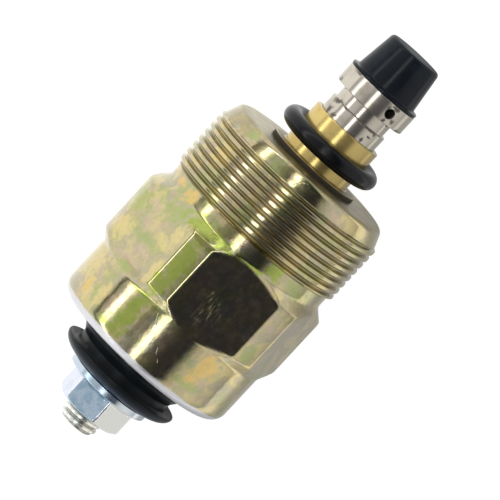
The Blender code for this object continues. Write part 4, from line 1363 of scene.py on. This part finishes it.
    def build(self) -> None:
        """Make the boot, the stud with its thread, and the nut."""
        zinc = self.zinc.material()
        piece("terminal_cap", self.boot(), self.rubber.material(), "terminal_boot")
        piece("terminal_shank", self.shank(), zinc, "terminal_stud")
        front_gap, rear_gap = self.stud_gaps
        front = self.nut_rear + self.stud_shown - front_gap
        thread = ScrewThread(
            "stud_thread", self.stud, self.stud_root, self.stud_inner, self.stud_pitch, front, front,
            self.stud_rear + rear_gap, self.stud, 0.0, self.stud - self.stud_chamfer, 1.0,
        )
        piece("stud_thread", thread.mesh(zinc), zinc, "terminal_stud")
        piece("terminal_nut", self.nut(), zinc, "flange_nut")


@dataclass
class Inside:
    """Hidden pieces: a wound spring, and the plain solids with finishes of their own."""

    spring_wire: float = 0.5
    spring_turns: float = 7.0
    spring_points: int = 48
    wire_points: int = 16
    spring_keep: float = 0.8

    def spring(self) -> Item:
        """Wind the return spring."""
        low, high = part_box("return_spring")
        wire = self.spring_wire * MM
        group = NodeGroup("spring_coil", {
            "Turns": self.spring_turns, "Points": self.spring_points, "Wire Points": self.wire_points,
            "Radius": (high.z - low.z - wire) / 2, "Height": high.x - low.x - wire, "Wire Radius": wire / 2,
            "Rear": low.x + wire / 2,
        })
        graph = group.graph
        spiral = graph.value("GeometryNodeCurveSpiral", {
            "Resolution": group["Points"], "Rotations": group["Turns"], "Start Radius": group["Radius"],
            "End Radius": group["Radius"], "Height": group["Height"],
        })
        circle = graph.value("GeometryNodeCurvePrimitiveCircle", {
            "Resolution": group["Wire Points"], "Radius": group["Wire Radius"],
        })
        tube = graph.value("GeometryNodeCurveToMesh", {"Curve": spiral, "Profile Curve": circle, "Fill Caps": True})
        laid = graph.value("GeometryNodeTransform", {
            "Geometry": tube, "Rotation": (0.0, CIRCLE / 4, 0.0),
            "Translation": graph.vector(group["Rear"], 0.0, 0.0),
        })
        finish = TurnedMetal("spring_steel", (0.45, 0.45, 0.46), (0.30, 0.30, 0.31), 0.35).material()
        item = piece("spring_coil", group.bake(laid, finish), finish, "return_spring")
        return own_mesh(item)

    def build(self, nodes: dict[str, Item], brass: TurnedMetal, rubber: Nonmetal) -> None:
        """Wind the spring and dress the hidden solids.

        Args:
            nodes: The frame's solids by name.
            brass: The sleeve's finish, shared by the shim.
            rubber: The ring's finish, shared by the hidden seals.
        """
        self.spring()
        finishes = (
            (TurnedMetal("core_steel", (0.42, 0.41, 0.40), (0.30, 0.29, 0.28), 0.4),
             ("fixed_core", "rear_pole_plate", "end_cover")),
            (TurnedMetal("enamelled_copper", (0.70, 0.30, 0.14), (0.45, 0.16, 0.07), 0.3, 0.6),
             ("coil_winding", "coil_lead", "ground_lead")),
            (insulation("insulating_board", (0.40, 0.20, 0.10), (0.30, 0.14, 0.07), 0.7, 0.6),
             ("front_washer", "insulating_disc")),
            (insulation("moulded_plastic", (0.05, 0.05, 0.055), (0.07, 0.07, 0.075), 0.5, 0.3),
             ("coil_bobbin", "terminal_insulator")),
            (insulation("winding_tape", (0.70, 0.62, 0.35), (0.60, 0.50, 0.26), 0.6, 1.2), ("coil_wrap",)),
            (brass, ("residual_shim",)),
            (rubber, ("core_o_ring", "insulator_seal")),
        )
        for finish, names in finishes:
            material = bpy.data.materials.get(finish.name) or finish.material()
            for name in names:
                for slot in nodes[name].material_slots:
                    slot.material = material
                LOG.info("%s: dressed", name)


@dataclass
class Studio:
    """Pale floor, soft light from all round with two bright strips, and the camera.

    Each band of light has a turn about the part's axis, from the camera's side, and a level.
    """

    lean: float = 15.9
    tip: float = 7.6
    roll: float = 42.8
    distance: float = 0.55
    lens: float = 344.5
    sensor: float = 36.0
    aim: Point = (-11.9, 1.236)
    peak: float = 4.0
    bands: tuple[Point, ...] = (
        (-180.0, 0.20), (-150.0, 0.22), (-120.0, 0.15), (-85.0, 0.16), (-77.0, 0.15), (-74.5, 0.085),
        (-69.5, 0.085), (-67.5, 0.17), (-61.5, 0.20), (-59.8, 1.00), (-53.5, 1.00), (-52.0, 0.25),
        (-46.0, 0.18), (-36.0, 0.19), (-25.0, 0.17), (-15.0, 0.08), (-9.0, 0.055), (-7.2, 1.00),
        (-0.4, 1.00), (1.2, 0.12), (5.0, 0.045), (13.0, 0.028), (20.0, 0.013), (36.0, 0.011), (40.0, 0.06),
        (45.0, 0.16), (56.0, 0.23), (75.0, 0.25), (92.0, 0.215), (105.0, 0.145), (130.0, 0.09),
        (180.0, 0.10),
    )
    cool: float = 0.004
    floor_half: float = 2.0
    floor_greys: tuple[Colour, Colour] = ((0.30, 0.30, 0.30), (0.29, 0.29, 0.29))
    floor_speckle: Cloud = Cloud(20.0, 2.0, 0.0, (0.3, 0.7))
    floor_roughness: float = 0.9
    floor_seen: Colour = (0.87, 0.87, 0.87)
    floor_lit: float = 1.0
    floor_shade: float = 0.32
    shade_edge: Span = (12.0, -16.0)
    shade_end: Span = (-35.0, -90.0)

    def camera(self) -> None:
        """Place the camera so that the part lies in the frame as in the photograph."""
        lean, tip, roll = (math.radians(angle) for angle in (self.lean, self.tip, self.roll))
        back = Vector((math.sin(tip), math.cos(tip) * math.sin(lean), math.cos(tip) * math.cos(lean)))
        right = Vector((1.0, 0.0, 0.0)).cross(back).normalized()
        up = back.cross(right)
        rolled = (right * math.cos(roll) + up * math.sin(roll), up * math.cos(roll) - right * math.sin(roll), back)
        target = Vector((self.aim[0] * MM, 0.0, 0.0)) + right * self.aim[1] * MM
        data = bpy.data.cameras.new("camera")
        data.lens, data.sensor_width = self.lens, self.sensor
        item = placed("camera", data)
        item.matrix_world = Matrix.Translation(target + back * self.distance) @ Matrix(rolled).transposed().to_4x4()
        bpy.context.scene.camera = item

    def light(self) -> None:
        """Light the part from all round, with strips that run along its axis."""
        world = bpy.data.worlds.new("studio")
        bpy.context.scene.world = world
        world.use_nodes = True
        world.node_tree.nodes.clear()
        graph = Graph(world.node_tree)
        _, across, up = graph.split(graph.value("ShaderNodeTexCoord", key="Generated"))
        lean = math.radians(self.lean)
        to_right = up * math.sin(lean) - across * math.cos(lean)
        to_camera = up * math.cos(lean) + across * math.sin(lean)
        turn = graph.math("ARCTAN2", to_right, to_camera) * (1 / CIRCLE) + 0.5
        stops = [(angle / 360 + 0.5, (level, level, level + self.cool)) for angle, level in self.bands]
        colour = graph.value("ShaderNodeValToRGB", {"Fac": turn}, stops=stops)
        background = graph.value("ShaderNodeBackground", {"Color": colour, "Strength": self.peak})
        graph.node("ShaderNodeOutputWorld", {"Surface": background})
        bpy.context.scene.view_settings.view_transform = "Standard"

    def floor(self, height: float) -> None:
        """Lay a plain pale floor under the part.

        Args:
            height: Its level, in metres.
        """
        form = bmesh.new()
        bmesh.ops.create_grid(form, x_segments=1, y_segments=1, size=self.floor_half)
        mesh = bpy.data.meshes.new("floor")
        form.to_mesh(mesh)
        form.free()
        mesh.transform(Matrix.Translation((0.0, 0.0, height)))
        paint = Paint("pale_floor", {"Roughness": self.floor_roughness, "Specular IOR Level": 0.0})
        graph = paint.graph
        paint.feed("Base Color", graph.blend(paint.clouds(self.floor_speckle), *self.floor_greys))
        near = graph.rise(paint.across, *self.shade_edge, self.floor_lit, self.floor_shade)
        far = graph.rise(paint.across, *self.shade_end, self.floor_shade, self.floor_lit)
        glow = graph.math("MAXIMUM", near, far)
        grey = graph.value("ShaderNodeCombineColor", {0: glow, 1: glow, 2: glow})
        seen = graph.value("ShaderNodeLightPath", key="Is Camera Ray")
        paint.feed("Emission Color", graph.blend(seen, grey, self.floor_seen))
        paint.feed("Emission Strength", 1.0)
        mesh.materials.append(paint.material)
        placed("floor", mesh)

    def build(self, height: float) -> None:
        """Set up the camera, the light and the floor at a height in metres."""
        self.camera()
        self.light()
        self.floor(height)


def main(frame: dict) -> None:
    """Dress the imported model.
    """
    brass = StainedBrass(
        "brass", (0.66, 0.50, 0.175), (0.56, 0.41, 0.13), 0.21, bare=0.74, side_shade=Coat((0.45, 0.34, 0.12), 0.9),
    )
    ring_rubber = Nonmetal("ring_rubber", (0.004, 0.0045, 0.0055), (0.007, 0.0075, 0.009), 0.18, 0.2)
    cone_rubber = Nonmetal(
        "cone_rubber", (0.008, 0.0105, 0.014), (0.012, 0.016, 0.021), 0.15, 0.13, matt=(17.5, 17.6),
    )
    boot_rubber = Nonmetal(
        "boot_rubber", (0.006, 0.008, 0.0095), (0.009, 0.012, 0.014), 0.30, 0.12,
        # Painted reflection on the boot's underside and painted highlights at its lip's left end.
        reflection_along=(-33.0, -33.9), highlight_marks=((-31.9, -82, 0.5, 9), (-32.4, -76, 0.2, 12)),
    )
    steel = DarkMarkedSteel(
        "plunger_steel", (0.56, 0.52, 0.44), (0.44, 0.40, 0.325), 0.15, bare=0.88,
        side_shade=Coat((0.46, 0.43, 0.35), 0.9),
    )
    zinc = BrightZinc("bright_zinc", (0.68, 0.72, 0.80), (0.60, 0.65, 0.74), 0.18)
    Studio().build(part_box("body")[0].z)
    BodyShell(YellowZinc()).build()
    Guide(brass, ring_rubber).build()
    Armature(steel, cone_rubber).build()
    Terminal(boot_rubber, zinc).build()
    Inside().build(frame["nodes"], brass, ring_rubber)


if __name__ == "__main__":
    logging.basicConfig(level=logging.INFO, format="%(name)s: %(message)s")
    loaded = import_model()
    main(loaded)
